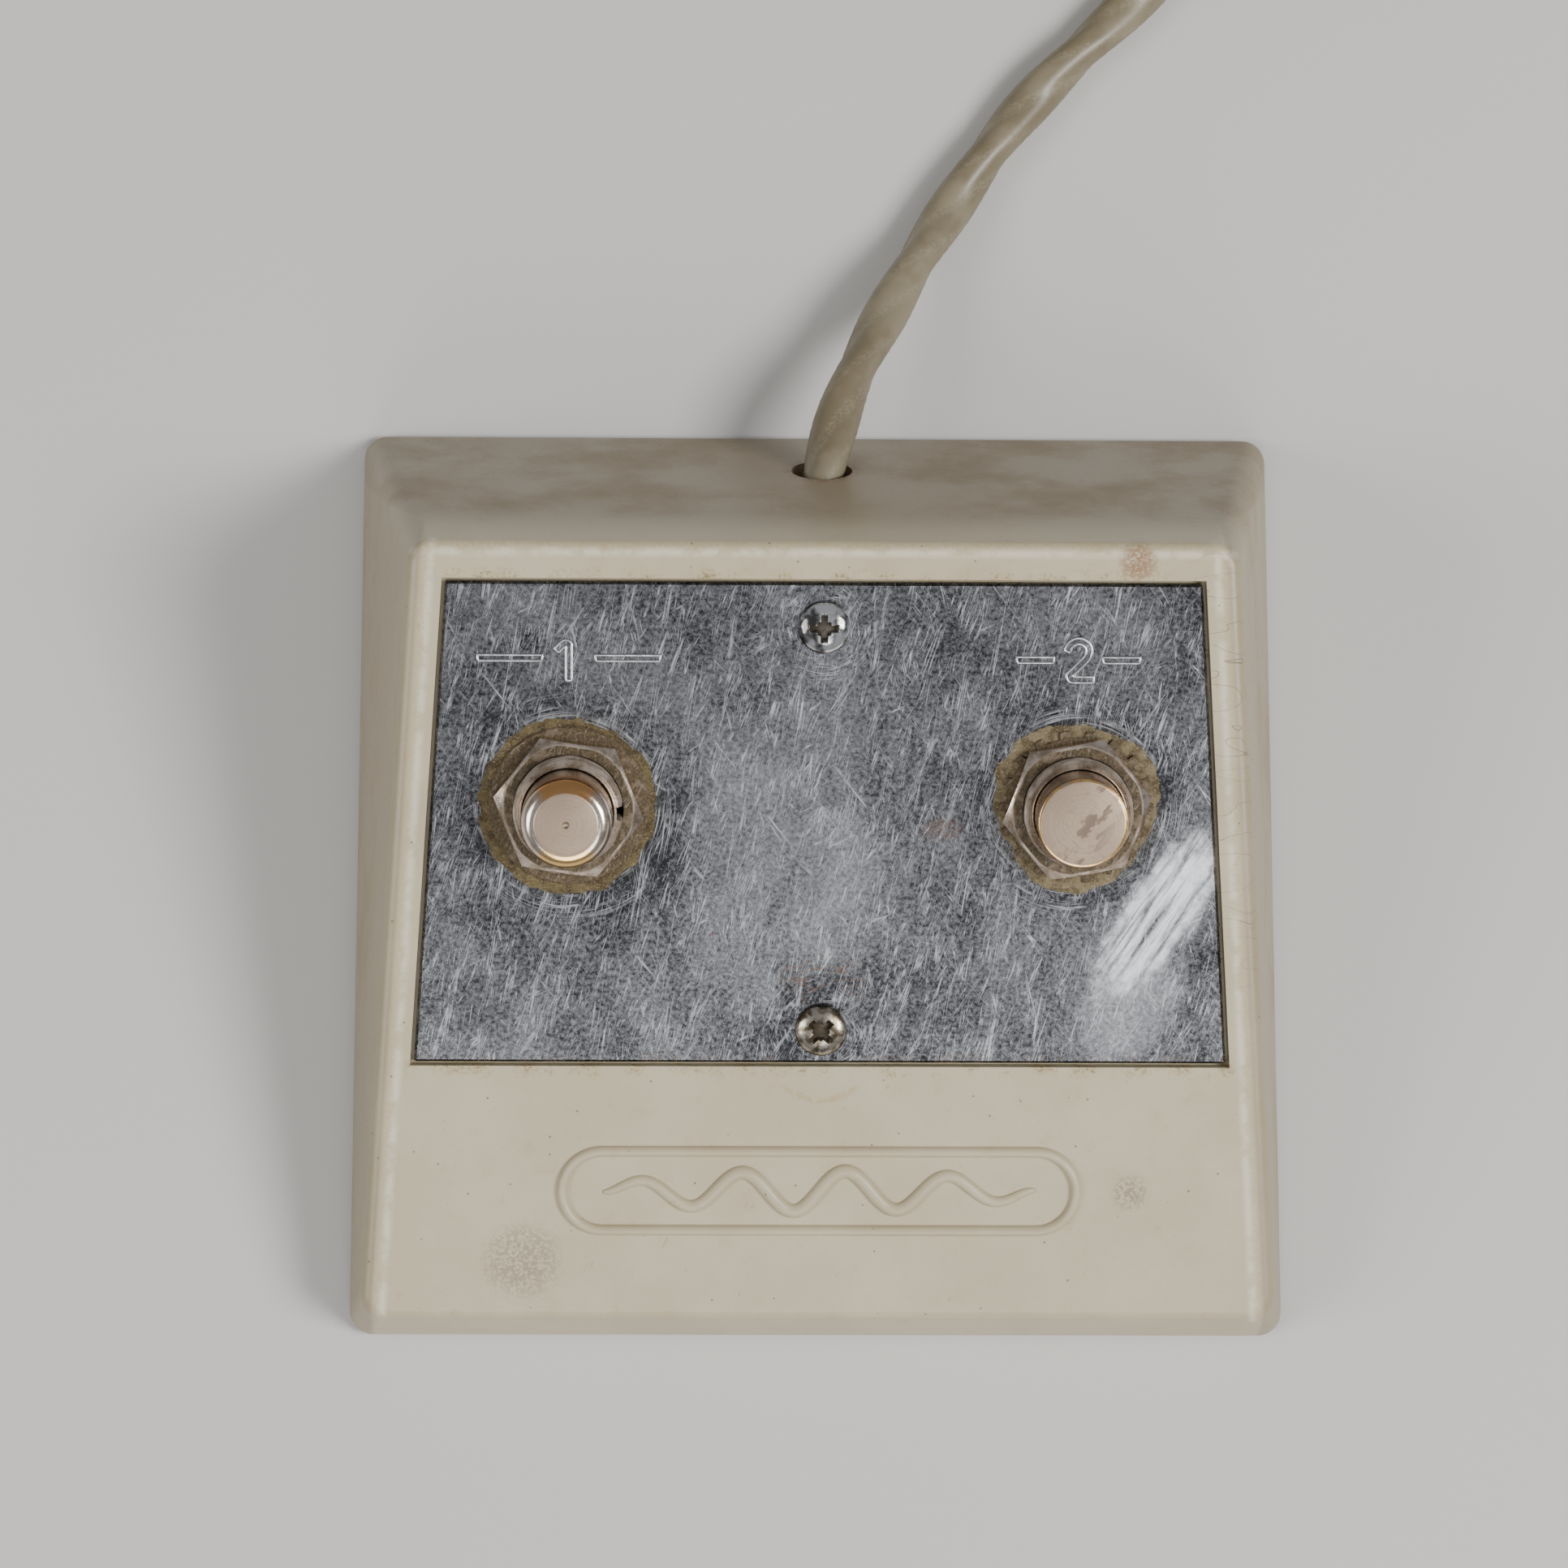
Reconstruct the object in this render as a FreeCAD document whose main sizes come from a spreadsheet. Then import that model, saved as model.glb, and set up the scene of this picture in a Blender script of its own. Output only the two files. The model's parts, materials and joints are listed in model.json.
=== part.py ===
import FreeCAD, Part
import math
import os
import re
import Sketcher

# Two-button floor switch for an amplifier, with its cord and plug. Millimetres, +Z up, +Y to the
# cord side. The origin is on the floor, under the middle of the housing.
# A second frame, the plate frame, lies on the steel plate's top surface: its X is the part's X,
# its Y runs up the slope and its Z stands out of the plate.

SIZES = {
    # housing
    "base_width": 105.5, "base_depth": 104.6, "stand": 1.5, "front_height": 10.2,
    "back_height": 40.7, "front_inset": 1.4, "back_inset": 22.0, "side_draft": 11.3,
    "wall": 3.0, "corner_round": 2.8, "rim_round": 1.5,
    # steel plate and its recess
    "plate_from_back": 4.3, "plate_length": 53.4, "plate_rim": 4.15, "plate_thickness": 1.5,
    "plate_sink": 0.12, "plate_gap": 0.4, "plate_bevel": 0.3,
    "ledge_back": 9.6, "ledge_front": 8.6, "ledge_side": 3.4,
    # plate screws
    "back_screw_inset": 4.85, "front_screw_inset": 3.8, "screw_head_radius": 2.85,
    "screw_head_height": 1.5, "screw_radius": 1.65, "screw_length": 10.0,
    "screw_slack": 0.25, "thread_slack": 0.05, "screw_point_radius": 0.5,
    "screw_point_length": 1.5, "screw_boss_radius": 3.8, "screw_boss_length": 10.5,
    "recess_arm": 1.6, "recess_width": 0.75, "recess_depth": 0.9,
    # switches
    "switch_spacing": 55.4, "switch_down": 28.85, "press_travel": 3.5, "stop_gap": 0.1,
    "bushing_radius": 5.95, "bushing_depth": 8.0, "bushing_ledge": 1.5, "bushing_chamfer": 0.45,
    "left_bushing_rise": 3.0, "right_bushing_rise": 2.5, "running_gap": 0.05,
    "keyway_width": 1.5, "keyway_depth": 0.6,
    "nut_across": 14.29, "nut_thickness": 2.0, "nut_bore_gap": 0.06, "nut_chamfer": 0.5,
    "washer_radius": 8.75, "washer_thickness": 0.6, "washer_edge": 0.15,
    "tooth_ring_radius": 7.7, "tooth_length": 0.75, "tooth_width": 1.15, "tooth_root": 0.4,
    "tooth_count": 18,
    "jam_nut_thickness": 2.2, "plate_hole_gap": 0.15,
    "plunger_radius": 4.9, "left_plunger_rise": 9.7, "right_plunger_rise": 7.6,
    "left_crown_radius": 3.4, "left_crown_drop": 1.5, "right_crown_radius": 4.5,
    "right_crown_drop": 0.4, "dimple_radius": 0.35, "dimple_depth": 0.3,
    "cap_bore": 3.6, "cap_roof": 3.5, "stem_radius": 1.6,
    "spring_radius": 2.6, "spring_wire": 0.6, "spring_turns": 5.0,
    "case_width": 18.4, "case_length": 16.0, "case_height": 7.5, "case_wall": 0.8,
    "case_hole": 2.5, "block_height": 3.5, "rotor_radius": 6.0, "rotor_thickness": 1.0,
    "rotor_clear": 0.2, "rotor_notch": 1.4, "pivot_radius": 1.2, "pivot_height": 1.9,
    "pivot_shoulder": 2.1, "lug_spacing": 9.0, "lug_width": 2.4, "lug_thickness": 0.8,
    "lug_length": 5.0, "lug_hole": 0.7, "lug_hole_height": 1.6, "contact_radius": 1.2,
    "slot_gap": 0.06,
    # cover and feet
    "cover_recess": 1.0, "cover_thickness": 1.5, "cover_gap": 0.4, "cover_corner": 2.0,
    "boss_from_side": 11.75, "boss_from_front": 11.8, "boss_from_back": 18.3,
    "cover_boss_radius": 4.2,
    "foot_radius": 6.5, "foot_base_radius": 5.6, "foot_screw_head": 3.2,
    "foot_head_lift": 0.2, "foot_head_height": 1.1, "foot_head_edge": 0.4,
    "foot_screw_radius": 1.6, "foot_screw_grip": 5.5,
    # cord and plug
    "cord_diameter": 5.6, "cord_slack": 0.7, "cord_height": 14.0, "cord_across": 0.4,
    "clip_wall": 1.8, "clip_length": 4.5, "clip_bite": 0.15, "clip_from_end": 1.5,
    "wire_diameter": 1.4,
    "solder_radius": 1.15, "solder_reach": 0.75,
    "coil_radius": 32.0, "coil_width": 16.8, "coil_height": 22.4, "coil_round": 5.0,
    "plug_radius": 7.0, "plug_neck_radius": 5.6, "handle_length": 40.0,
    "relief_length": 13.0, "relief_radius": 4.1, "relief_tip_radius": 3.4,
    "flange_radius": 5.0, "flange_length": 3.0, "finger_radius": 3.175, "sleeve_length": 16.0,
    "insulator_length": 1.2, "insulator_radius": 3.0, "ring_length": 4.2, "tip_length": 8.4,
    "tip_neck_radius": 2.2, "tip_shoulder": 1.6, "tip_neck": 3.0, "tip_swell": 4.6,
    "tip_nose": 0.6, "plug_edge": 0.8, "plug_neck_edge": 0.5, "plug_neck_length": 12.0,
    # how far a cutting tool runs past what it cuts
    "overrun": 1.0,
}

COIL_CENTRE = (31.3, 152.0)
PLUG_START = (20.0, 199.4)

# The cord from its cut end inside the housing to the coil. It drops to the floor behind the
# housing and lies on it; every run turns a little from the run before it.
CORD_ROUTE = [
    (-1.3, 31.0, 14.1), (-0.3, 39.4, 14.1), (0.9, 47.4, 13.7), (2.8, 55.0, 11.9),
    (5.7, 62.2, 9.2), (9.2, 69.2, 6.2), (13.2, 76.0, 4.0), (17.6, 82.6, 2.9),
    (22.4, 89.8, 2.8), (28.6, 96.7, 2.8), (36.4, 104.5, 2.8), (46.2, 113.7, 2.8),
    (56.6, 124.6, 2.8),
]
# The end of the cord from the coil up to the plug's relief.
TAIL_ROUTE = [
    (60.9, 128.9, 19.6), (72.9, 146.2, 19.5), (75.0, 167.9, 15.8), (62.5, 189.2, 10.2),
    (44.5, 199.4, 7.0), (20.0, 199.4, 7.0),
]

doc = FreeCAD.newDocument("floor_switch")
sheet = doc.addObject("Spreadsheet::Sheet", "Sizes")
for row, (alias, number) in enumerate(SIZES.items(), start=1):
    sheet.set(f"A{row}", alias)
    sheet.set(f"B{row}", str(number))
    sheet.setAlias(f"B{row}", alias)
doc.recompute()

NODES = {}


# ---------------------------------------------------------------- helpers

def bound(text):
    """The expression with every size's name pointing at its cell."""
    return re.sub(r"[a-z][a-z_]+", lambda m: f"Sizes.{m[0]}" if m[0] in SIZES else m[0], text)


def value(text):
    """The expression's number now, in millimetres or degrees."""
    result = sheet.evalExpression(bound(text))
    return float(getattr(result, "Value", result))


def bind(thing, **properties):
    for name, text in properties.items():
        thing.setExpression(name, bound(text))


def place(thing, x="0", y="0", z="0"):
    for axis, text in zip("xyz", (x, y, z)):
        thing.setExpression(f".Placement.Base.{axis}", bound(text))
    return thing


def node(thing, label):
    """Name a finished sub-part; its label is also its file's name."""
    thing.Label = label
    NODES[label] = thing
    return thing


RUN = "(base_depth - front_inset - back_inset)"
RISE = "(back_height - front_height)"
SLOPE = f"atan({RISE} / {RUN})"
LEVEL_SHARE = f"cos({SLOPE})"
STEEP_SHARE = f"sin({SLOPE})"


def on_plate(thing, across="0", down="switch_down", proud="0"):
    """Put a thing made in the plate frame at a distance across and down the slope."""
    low = f"(plate_sink - ({proud}))"
    place(
        thing,
        across,
        f"base_depth / 2 - back_inset - ({down}) * {LEVEL_SHARE} + {low} * {STEEP_SHARE}",
        f"back_height - ({down}) * {STEEP_SHARE} - {low} * {LEVEL_SHARE}",
    )
    thing.Placement.Rotation = FreeCAD.Rotation(FreeCAD.Vector(1, 0, 0), value(SLOPE))
    thing.setExpression(".Placement.Rotation.Angle", bound(SLOPE))
    return thing


def new_body(name):
    return doc.addObject("PartDesign::Body", name)


def new_sketch(body, name, plane="XY_Plane"):
    sketch = body.newObject("Sketcher::SketchObject", name)
    origin_plane = next(f for f in body.Origin.OriginFeatures if f.Role == plane)
    sketch.AttachmentSupport = [(origin_plane, "")]
    sketch.MapMode = "FlatFace"
    return sketch


def draw_outline(sketch, corners):
    """A closed outline of straight lines through corners, each a pair of expressions."""
    first = sketch.GeometryCount
    spots = [FreeCAD.Vector(value(u), value(v), 0) for u, v in corners]
    for start, end in zip(spots, spots[1:] + spots[:1]):
        sketch.addGeometry(Part.LineSegment(start, end), False)
    count = len(spots)
    for i in range(count):
        follower = first + (i + 1) % count
        sketch.addConstraint(Sketcher.Constraint("Coincident", first + i, 2, follower, 1))
    for i, corner in enumerate(corners):
        for kind, text in zip(("DistanceX", "DistanceY"), corner):
            rule = Sketcher.Constraint(kind, -1, 1, first + i, 1, value(text))
            number = sketch.addConstraint(rule)
            sketch.setExpression(f"Constraints[{number}]", bound(text))


def draw_circle(sketch, radius, across="0", along="0"):
    centre = FreeCAD.Vector(value(across), value(along), 0)
    index = sketch.addGeometry(Part.Circle(centre, FreeCAD.Vector(0, 0, 1), value(radius)), False)
    for kind, text in (("DistanceX", across), ("DistanceY", along)):
        number = sketch.addConstraint(Sketcher.Constraint(kind, -1, 1, index, 3, value(text)))
        sketch.setExpression(f"Constraints[{number}]", bound(text))
    number = sketch.addConstraint(Sketcher.Constraint("Radius", index, value(radius)))
    sketch.setExpression(f"Constraints[{number}]", bound(radius))


def pad(body, sketch, length, downwards=False, symmetric=False):
    feature = body.newObject("PartDesign::Pad", f"{sketch.Name}_pad")
    feature.Profile = sketch
    feature.Reversed = downwards
    if symmetric:
        feature.SideType = "Symmetric"
    bind(feature, Length=length)
    body.Tip = feature
    return feature


def pocket(body, sketch, length, upwards=False, symmetric=False):
    """Cut the sketch out of the body, and check that it took something away."""
    doc.recompute()
    before = body.Shape.Volume
    feature = body.newObject("PartDesign::Pocket", f"{sketch.Name}_cut")
    feature.Profile = sketch
    feature.Reversed = upwards
    if symmetric:
        feature.SideType = "Symmetric"
    bind(feature, Length=length)
    body.Tip = feature
    doc.recompute()
    assert body.Shape.Volume < before, f"{feature.Name} cuts nothing"
    return feature


def revolved(name, profile):
    """A body turned from a closed profile of (radius, height) pairs round its Z axis."""
    body = new_body(name)
    sketch = new_sketch(body, f"{name}_profile", "XZ_Plane")
    draw_outline(sketch, profile)
    turn = body.newObject("PartDesign::Revolution", f"{name}_turn")
    turn.Profile = sketch
    turn.ReferenceAxis = (sketch, ["V_Axis"])
    turn.Angle = 360
    body.Tip = turn
    return body


def edges_where(shape, test):
    """Names of the edges whose middle and direction pass a test."""
    names = []
    for i, edge in enumerate(shape.Edges, start=1):
        middle = edge.valueAt((edge.FirstParameter + edge.LastParameter) / 2)
        if test(middle, edge.tangentAt(edge.FirstParameter)):
            names.append(f"Edge{i}")
    return names


def rounded(body, radius, test, kind="Fillet"):
    doc.recompute()
    base = body.Tip
    feature = body.newObject(f"PartDesign::{kind}", f"{body.Name}_{kind}_{len(body.Group)}")
    feature.Base = (base, edges_where(base.Shape, test))
    bind(feature, **{"Radius" if kind == "Fillet" else "Size": radius})
    body.Tip = feature


def cylinder(name, radius, height, z="0", across="0", along="0"):
    made = doc.addObject("Part::Cylinder", name)
    bind(made, Radius=radius, Height=height)
    return place(made, across, along, z)


def box(name, width, length, height, z="0", across="0", along="0"):
    """A box whose bottom face is centred on (across, along)."""
    made = doc.addObject("Part::Box", name)
    bind(made, Length=width, Width=length, Height=height)
    return place(made, f"{across} - ({width}) / 2", f"{along} - ({length}) / 2", z)


def joined(name, pieces):
    made = doc.addObject("Part::MultiFuse", name)
    made.Shapes = pieces
    return made


def group(name, pieces):
    """Separate solids kept in one node."""
    made = doc.addObject("Part::Compound", name)
    made.Links = pieces
    return made


def cut(name, base, tools):
    made = doc.addObject("Part::Cut", name)
    made.Base = base
    made.Tool = tools[0] if len(tools) == 1 else joined(f"{name}_tools", tools)
    return made


def rounded_path(points):
    """Straight runs joined by the largest tangent arcs that both runs allow."""
    spots = [FreeCAD.Vector(*p) for p in points]
    edges, at, radii = [], spots[0], []
    for before, corner, after in zip(spots, spots[1:], spots[2:]):
        back, ahead = before - corner, after - corner
        turn = math.pi - back.getAngle(ahead)
        reach = 0.45 * min(back.Length, ahead.Length)
        start = corner + back.normalize() * reach
        end = corner + ahead.normalize() * reach
        radius = reach / math.tan(turn / 2)
        bisector = (back + ahead).normalize()
        middle = corner + bisector * (radius / math.cos(turn / 2) - radius)
        edges += [Part.LineSegment(at, start).toShape(), Part.Arc(start, middle, end).toShape()]
        radii.append(radius)
        at = end
    edges.append(Part.LineSegment(at, spots[-1]).toShape())
    return Part.Wire(edges), radii


def tube(name, points, diameter):
    """A round tube along a rounded path, checked against its section times its length."""
    path, radii = rounded_path(points)
    start, towards = FreeCAD.Vector(*points[0]), FreeCAD.Vector(*points[1])
    ring = Part.Wire(Part.makeCircle(diameter / 2, start, towards - start))
    solid = Part.Solid(path.makePipeShell([ring], True, True))
    if solid.Volume < 0:
        solid.reverse()
    section = math.pi * diameter ** 2 / 4
    share = solid.Volume / (section * path.Length)
    print(f"{name}: length {path.Length:.1f}, volume share {share:.4f},",
          "radii", [round(r, 1) for r in radii])
    assert abs(share - 1) < 0.01, f"{name} has the wrong volume"
    made = doc.addObject("Part::Feature", name)
    made.Shape = solid
    return made


# ---------------------------------------------------------------- housing

SIDE_LEAN = "tan(side_draft)"


def wedge(name):
    """The housing's solid outline: a low front, a high back and four leaning sides."""
    body = new_body(name)
    side = new_sketch(body, f"{name}_side", "YZ_Plane")
    draw_outline(side, [
        ("-base_depth / 2", "stand"),
        ("base_depth / 2", "stand"),
        ("base_depth / 2 - back_inset", "back_height"),
        ("-base_depth / 2 + front_inset", "front_height"),
    ])
    pad(body, side, "base_width", symmetric=True)
    lean = new_sketch(body, f"{name}_lean", "XZ_Plane")
    for sign in ("", "-"):
        foot = f"{sign}base_width / 2"
        past = f"{sign}(base_width / 2 + wall)"
        top = f"{sign}(base_width / 2 - {SIDE_LEAN} * (back_height - stand))"
        draw_outline(lean, [
            (foot, "stand"), (top, "back_height"), (past, "back_height"), (past, "stand"),
        ])
    pocket(body, lean, "2 * base_depth", symmetric=True)
    return body


def plate_half_width(down, inset):
    """Half the plate's width at a distance down the slope, less an inset."""
    rim_height = f"(back_height - stand - ({down}) * {STEEP_SHARE})"
    return f"(base_width / 2 - {SIDE_LEAN} * {rim_height} - plate_rim - ({inset}))"


def plate_outline(inset, top, bottom):
    """Corners of the plate's outline in the plate frame, between two distances down the slope."""
    return [
        (f"-{plate_half_width(top, inset)}", f"switch_down - ({top})"),
        (f"{plate_half_width(top, inset)}", f"switch_down - ({top})"),
        (f"{plate_half_width(bottom, inset)}", f"switch_down - ({bottom})"),
        (f"-{plate_half_width(bottom, inset)}", f"switch_down - ({bottom})"),
    ]


PLATE_TOP = "plate_from_back"
PLATE_BOTTOM = "(plate_from_back + plate_length)"
SCREW_SPOTS = {
    "back": f"({PLATE_TOP} + back_screw_inset)",
    "front": f"({PLATE_BOTTOM} - front_screw_inset)",
}
BOSS_SPOTS = [
    (f"{sign}(base_width / 2 - boss_from_side)", along)
    for sign in ("-", "")
    for along in ("-(base_depth / 2 - boss_from_front)", "(base_depth / 2 - boss_from_back)")
]
COVER_BOTTOM = "(stand + cover_recess)"
COVER_TOP = f"({COVER_BOTTOM} + cover_thickness)"


def plate_tool(name, corners, top, depth):
    """A block in the plate frame, to cut the recess and the opening with."""
    body = new_body(name)
    sketch = new_sketch(body, f"{name}_outline")
    draw_outline(sketch, corners)
    pad(body, sketch, depth, downwards=True)
    return on_plate(body, proud=top)


def make_housing():
    sharp = wedge("housing_block")
    doc.recompute()
    floor_face = min(range(len(sharp.Shape.Faces)),
                     key=lambda i: sharp.Shape.Faces[i].CenterOfMass.z) + 1
    shell = doc.addObject("Part::Thickness", "housing_shell")
    shell.Faces = (sharp, [f"Face{floor_face}"])
    shell.Mode = "Skin"
    shell.Join = "Intersection"
    shell.Value = -value("wall")
    shell.setExpression("Value", bound("-wall"))

    bosses = [
        cylinder(f"cover_boss_{i}", "cover_boss_radius", f"back_height - {COVER_TOP}",
                 COVER_TOP, across, along)
        for i, (across, along) in enumerate(BOSS_SPOTS)
    ]
    for name, down in SCREW_SPOTS.items():
        boss = cylinder(f"{name}_screw_boss", "screw_boss_radius", "screw_boss_length")
        bosses.append(on_plate(boss, down=down, proud="-plate_thickness - screw_boss_length"))

    smooth = wedge("housing_outline")
    stand = value("stand")
    rounded(smooth, "corner_round", lambda m, d: abs(d.z) > 0.5)
    rounded(smooth, "rim_round", lambda m, d: m.z > stand + 1 and abs(d.z) < 0.5)

    trimmed = doc.addObject("Part::MultiCommon", "housing_moulding")
    trimmed.Shapes = [joined("housing_with_bosses", [shell] + bosses), smooth]

    tools = [
        plate_tool("recess_tool", plate_outline("-plate_gap", f"({PLATE_TOP} - plate_gap)",
                                                f"({PLATE_BOTTOM} + plate_gap)"),
                   "overrun", "overrun + plate_thickness"),
        plate_tool("opening_tool", plate_outline("ledge_side", f"({PLATE_TOP} + ledge_back)",
                                                 f"({PLATE_BOTTOM} - ledge_front)"),
                   "overrun", "overrun + 2 * wall"),
    ]
    for name, down in SCREW_SPOTS.items():
        pilot = cylinder(f"{name}_pilot", "screw_radius + thread_slack",
                         "screw_length + screw_slack")
        tools.append(on_plate(pilot, down=down, proud="-screw_length - screw_slack"))
    for i, (across, along) in enumerate(BOSS_SPOTS):
        tools.append(cylinder(f"cover_pilot_{i}", "foot_screw_radius + thread_slack",
                              "foot_screw_grip + screw_slack", COVER_TOP, across, along))
    cord_hole = cylinder("cord_hole_tool", "cord_diameter / 2 + cord_slack", "base_depth / 2",
                         "cord_height", "cord_across", "base_depth / 4 + wall")
    cord_hole.Placement.Rotation = FreeCAD.Rotation(FreeCAD.Vector(-1, 0, 0), 90)
    tools.append(cord_hole)
    node(cut("housing_finished", trimmed, tools), "housing")


def make_cover():
    lean_back = "back_inset / (back_height - stand)"
    lean_front = "front_inset / (front_height - stand)"
    rise = f"({COVER_TOP} - stand)"

    def reach(half, lean):
        """How far the cover reaches towards a leaning wall of the housing."""
        return f"({half} - wall * sqrt(1 + ({lean})^2) - {rise} * {lean} - cover_gap)"

    back, front = reach("base_depth / 2", lean_back), reach("base_depth / 2", lean_front)
    half_width = reach("base_width / 2", SIDE_LEAN)
    body = new_body("cover")
    sketch = new_sketch(body, "cover_outline")
    draw_outline(sketch, [
        (f"-{half_width}", f"-{front}"), (half_width, f"-{front}"),
        (half_width, back), (f"-{half_width}", back),
    ])
    pad(body, sketch, "cover_thickness")
    rounded(body, "cover_corner", lambda m, d: abs(d.z) > 0.5)
    holes = new_sketch(body, "cover_holes")
    for across, along in BOSS_SPOTS:
        draw_circle(holes, "foot_screw_radius + screw_slack", across, along)
    pocket(body, holes, "2 * cover_thickness", upwards=True)
    node(place(body, z=COVER_BOTTOM), "base_cover")


def make_feet():
    names = ("front_left", "back_left", "front_right", "back_right")
    bore, head = "foot_screw_radius + screw_slack", "foot_screw_head + screw_slack"
    web = "(foot_head_lift + foot_head_height)"
    screws = []
    for name, (across, along) in zip(names, BOSS_SPOTS):
        foot = revolved(f"foot_{name}", [
            (head, "0"), ("foot_base_radius", "0"), ("foot_radius", COVER_BOTTOM),
            (bore, COVER_BOTTOM), (bore, web), (head, web),
        ])
        node(place(foot, across, along), f"rubber_foot_{name}")
        screw = revolved(f"foot_screw_{name}", [
            ("0", "foot_head_lift"), ("foot_screw_head - foot_head_edge", "foot_head_lift"),
            ("foot_screw_head", "foot_head_lift + foot_head_edge"),
            ("foot_screw_head", web), ("foot_screw_radius", web),
            ("foot_screw_radius", f"{COVER_TOP} + foot_screw_grip - screw_point_length"),
            ("screw_point_radius", f"{COVER_TOP} + foot_screw_grip"),
            ("0", f"{COVER_TOP} + foot_screw_grip"),
        ])
        screws.append(place(screw, across, along))
    node(group("foot_screw_set", screws), "foot_screws")


# ---------------------------------------------------------------- plate and its screws

def make_plate():
    body = new_body("plate")
    sketch = new_sketch(body, "plate_sheet")
    draw_outline(sketch, plate_outline("0", PLATE_TOP, PLATE_BOTTOM))
    for sign in ("-", ""):
        draw_circle(sketch, "bushing_radius + plate_hole_gap", f"{sign}switch_spacing / 2")
    for down in SCREW_SPOTS.values():
        draw_circle(sketch, "screw_radius + screw_slack", "0", f"switch_down - {down}")
    pad(body, sketch, "plate_thickness", downwards=True)
    holes = [(s * value("switch_spacing / 2"), 0, value("bushing_radius")) for s in (-1, 1)]
    holes += [(0, value(f"switch_down - {d}"), value("screw_radius")) for d in SCREW_SPOTS.values()]

    def on_rim(spot):
        """True on the plate's outer edge, false round its holes."""
        reach = value("overrun")
        return all(math.hypot(spot.x - x, spot.y - y) > radius + reach for x, y, radius in holes)

    rounded(body, "plate_bevel", lambda m, d: abs(d.z) > 0.5 and on_rim(m))
    rounded(body, "plate_bevel", lambda m, d: abs(m.z) < 1e-6 and on_rim(m), "Chamfer")
    node(on_plate(body), "top_plate")


def make_plate_screws():
    """Domed cross-recess screws, driven into the bosses under the plate."""
    for name, down in SCREW_SPOTS.items():
        screw = revolved(f"{name}_screw", [
            ("0", "-screw_length"), ("screw_point_radius", "-screw_length"),
            ("screw_radius", "screw_point_length - screw_length"),
            ("screw_radius", "0"), ("screw_head_radius", "0"),
            ("screw_head_radius", "0.3 * screw_head_height"),
            ("0.86 * screw_head_radius", "0.66 * screw_head_height"),
            ("0.58 * screw_head_radius", "0.9 * screw_head_height"), ("0", "screw_head_height"),
        ])
        arms = new_sketch(screw, f"{name}_screw_cross")
        long, short = "recess_arm", "recess_width / 2"
        draw_outline(arms, [
            (long, f"-{short}"), (long, short), (short, short), (short, long),
            (f"-({short})", long), (f"-({short})", short), (f"-{long}", short),
            (f"-{long}", f"-{short}"), (f"-({short})", f"-{short}"), (f"-({short})", f"-{long}"),
            (short, f"-{long}"), (short, f"-{short}"),
        ])
        arms.AttachmentOffset.Base = FreeCAD.Vector(0, 0, value("screw_head_height - recess_depth"))
        arms.setExpression(".AttachmentOffset.Base.z", bound("screw_head_height - recess_depth"))
        pocket(screw, arms, "2 * recess_depth", upwards=True)
        node(on_plate(screw, down=down), f"plate_screw_{name}")


# ---------------------------------------------------------------- switches

STACK = "(washer_thickness + nut_thickness)"
BUSHING_LOW = "(-bushing_depth)"
LEDGE = "(bushing_ledge - bushing_depth)"
CASE_LOW = "(-bushing_depth - case_height)"
ROTOR_LOW = f"({CASE_LOW} + rotor_thickness)"
LUG_EYE = f"({CASE_LOW} - block_height - lug_length + lug_hole_height)"
STEM_LOW = f"({ROTOR_LOW} + rotor_thickness + press_travel + rotor_clear)"


def hexagon(across_flats):
    """Six corners of a hexagon, the first on +X."""
    corners = []
    for i in range(6):
        corners.append((f"{across_flats} / sqrt(3) * cos({60 * i})",
                        f"{across_flats} / sqrt(3) * sin({60 * i})"))
    return corners


def make_nut(name, thickness, z, turn_degrees, across):
    body = new_body(name)
    sketch = new_sketch(body, f"{name}_hexagon")
    draw_outline(sketch, hexagon("nut_across"))
    draw_circle(sketch, "bushing_radius + nut_bore_gap")
    pad(body, sketch, thickness)
    cone = new_sketch(body, f"{name}_crown", "XZ_Plane")
    draw_outline(cone, [
        ("nut_across / 2 - washer_edge", thickness), ("nut_across", thickness),
        ("nut_across", f"{thickness} - nut_chamfer - tan(30) * nut_across / 2"),
    ])
    groove = body.newObject("PartDesign::Groove", f"{name}_crown_cut")
    groove.Profile = cone
    groove.ReferenceAxis = (cone, ["V_Axis"])
    groove.Angle = 360
    body.Tip = groove
    seated = on_plate(body, across, proud=z)
    tilt = seated.Placement.Rotation
    seated.setExpression(".Placement.Rotation.Angle", None)
    seated.Placement.Rotation = tilt.multiply(FreeCAD.Rotation(turn_degrees, 0, 0))
    return node(seated, name)


def make_tooth_washer(name, across):
    """A lock washer: a thin ring with teeth all round its rim."""
    body = new_body(name)
    ring = new_sketch(body, f"{name}_ring")
    draw_circle(ring, "tooth_ring_radius")
    draw_circle(ring, "bushing_radius + nut_bore_gap")
    pad(body, ring, "washer_thickness")
    tooth = new_sketch(body, f"{name}_tooth")
    root, tip = "tooth_ring_radius - tooth_root", "tooth_ring_radius + tooth_length"
    draw_outline(tooth, [
        (root, "-tooth_width / 2"), (tip, "-tooth_width / 2 + washer_edge"),
        (tip, "tooth_width / 2 - washer_edge"), (root, "tooth_width / 2"),
    ])
    first = pad(body, tooth, "washer_thickness")
    pattern = body.newObject("PartDesign::PolarPattern", f"{name}_teeth")
    pattern.Originals = [first]
    pattern.Axis = (tooth, ["N_Axis"])
    pattern.Angle = 360
    bind(pattern, Occurrences="tooth_count")
    body.Tip = pattern
    return node(on_plate(body, across), name)


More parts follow.
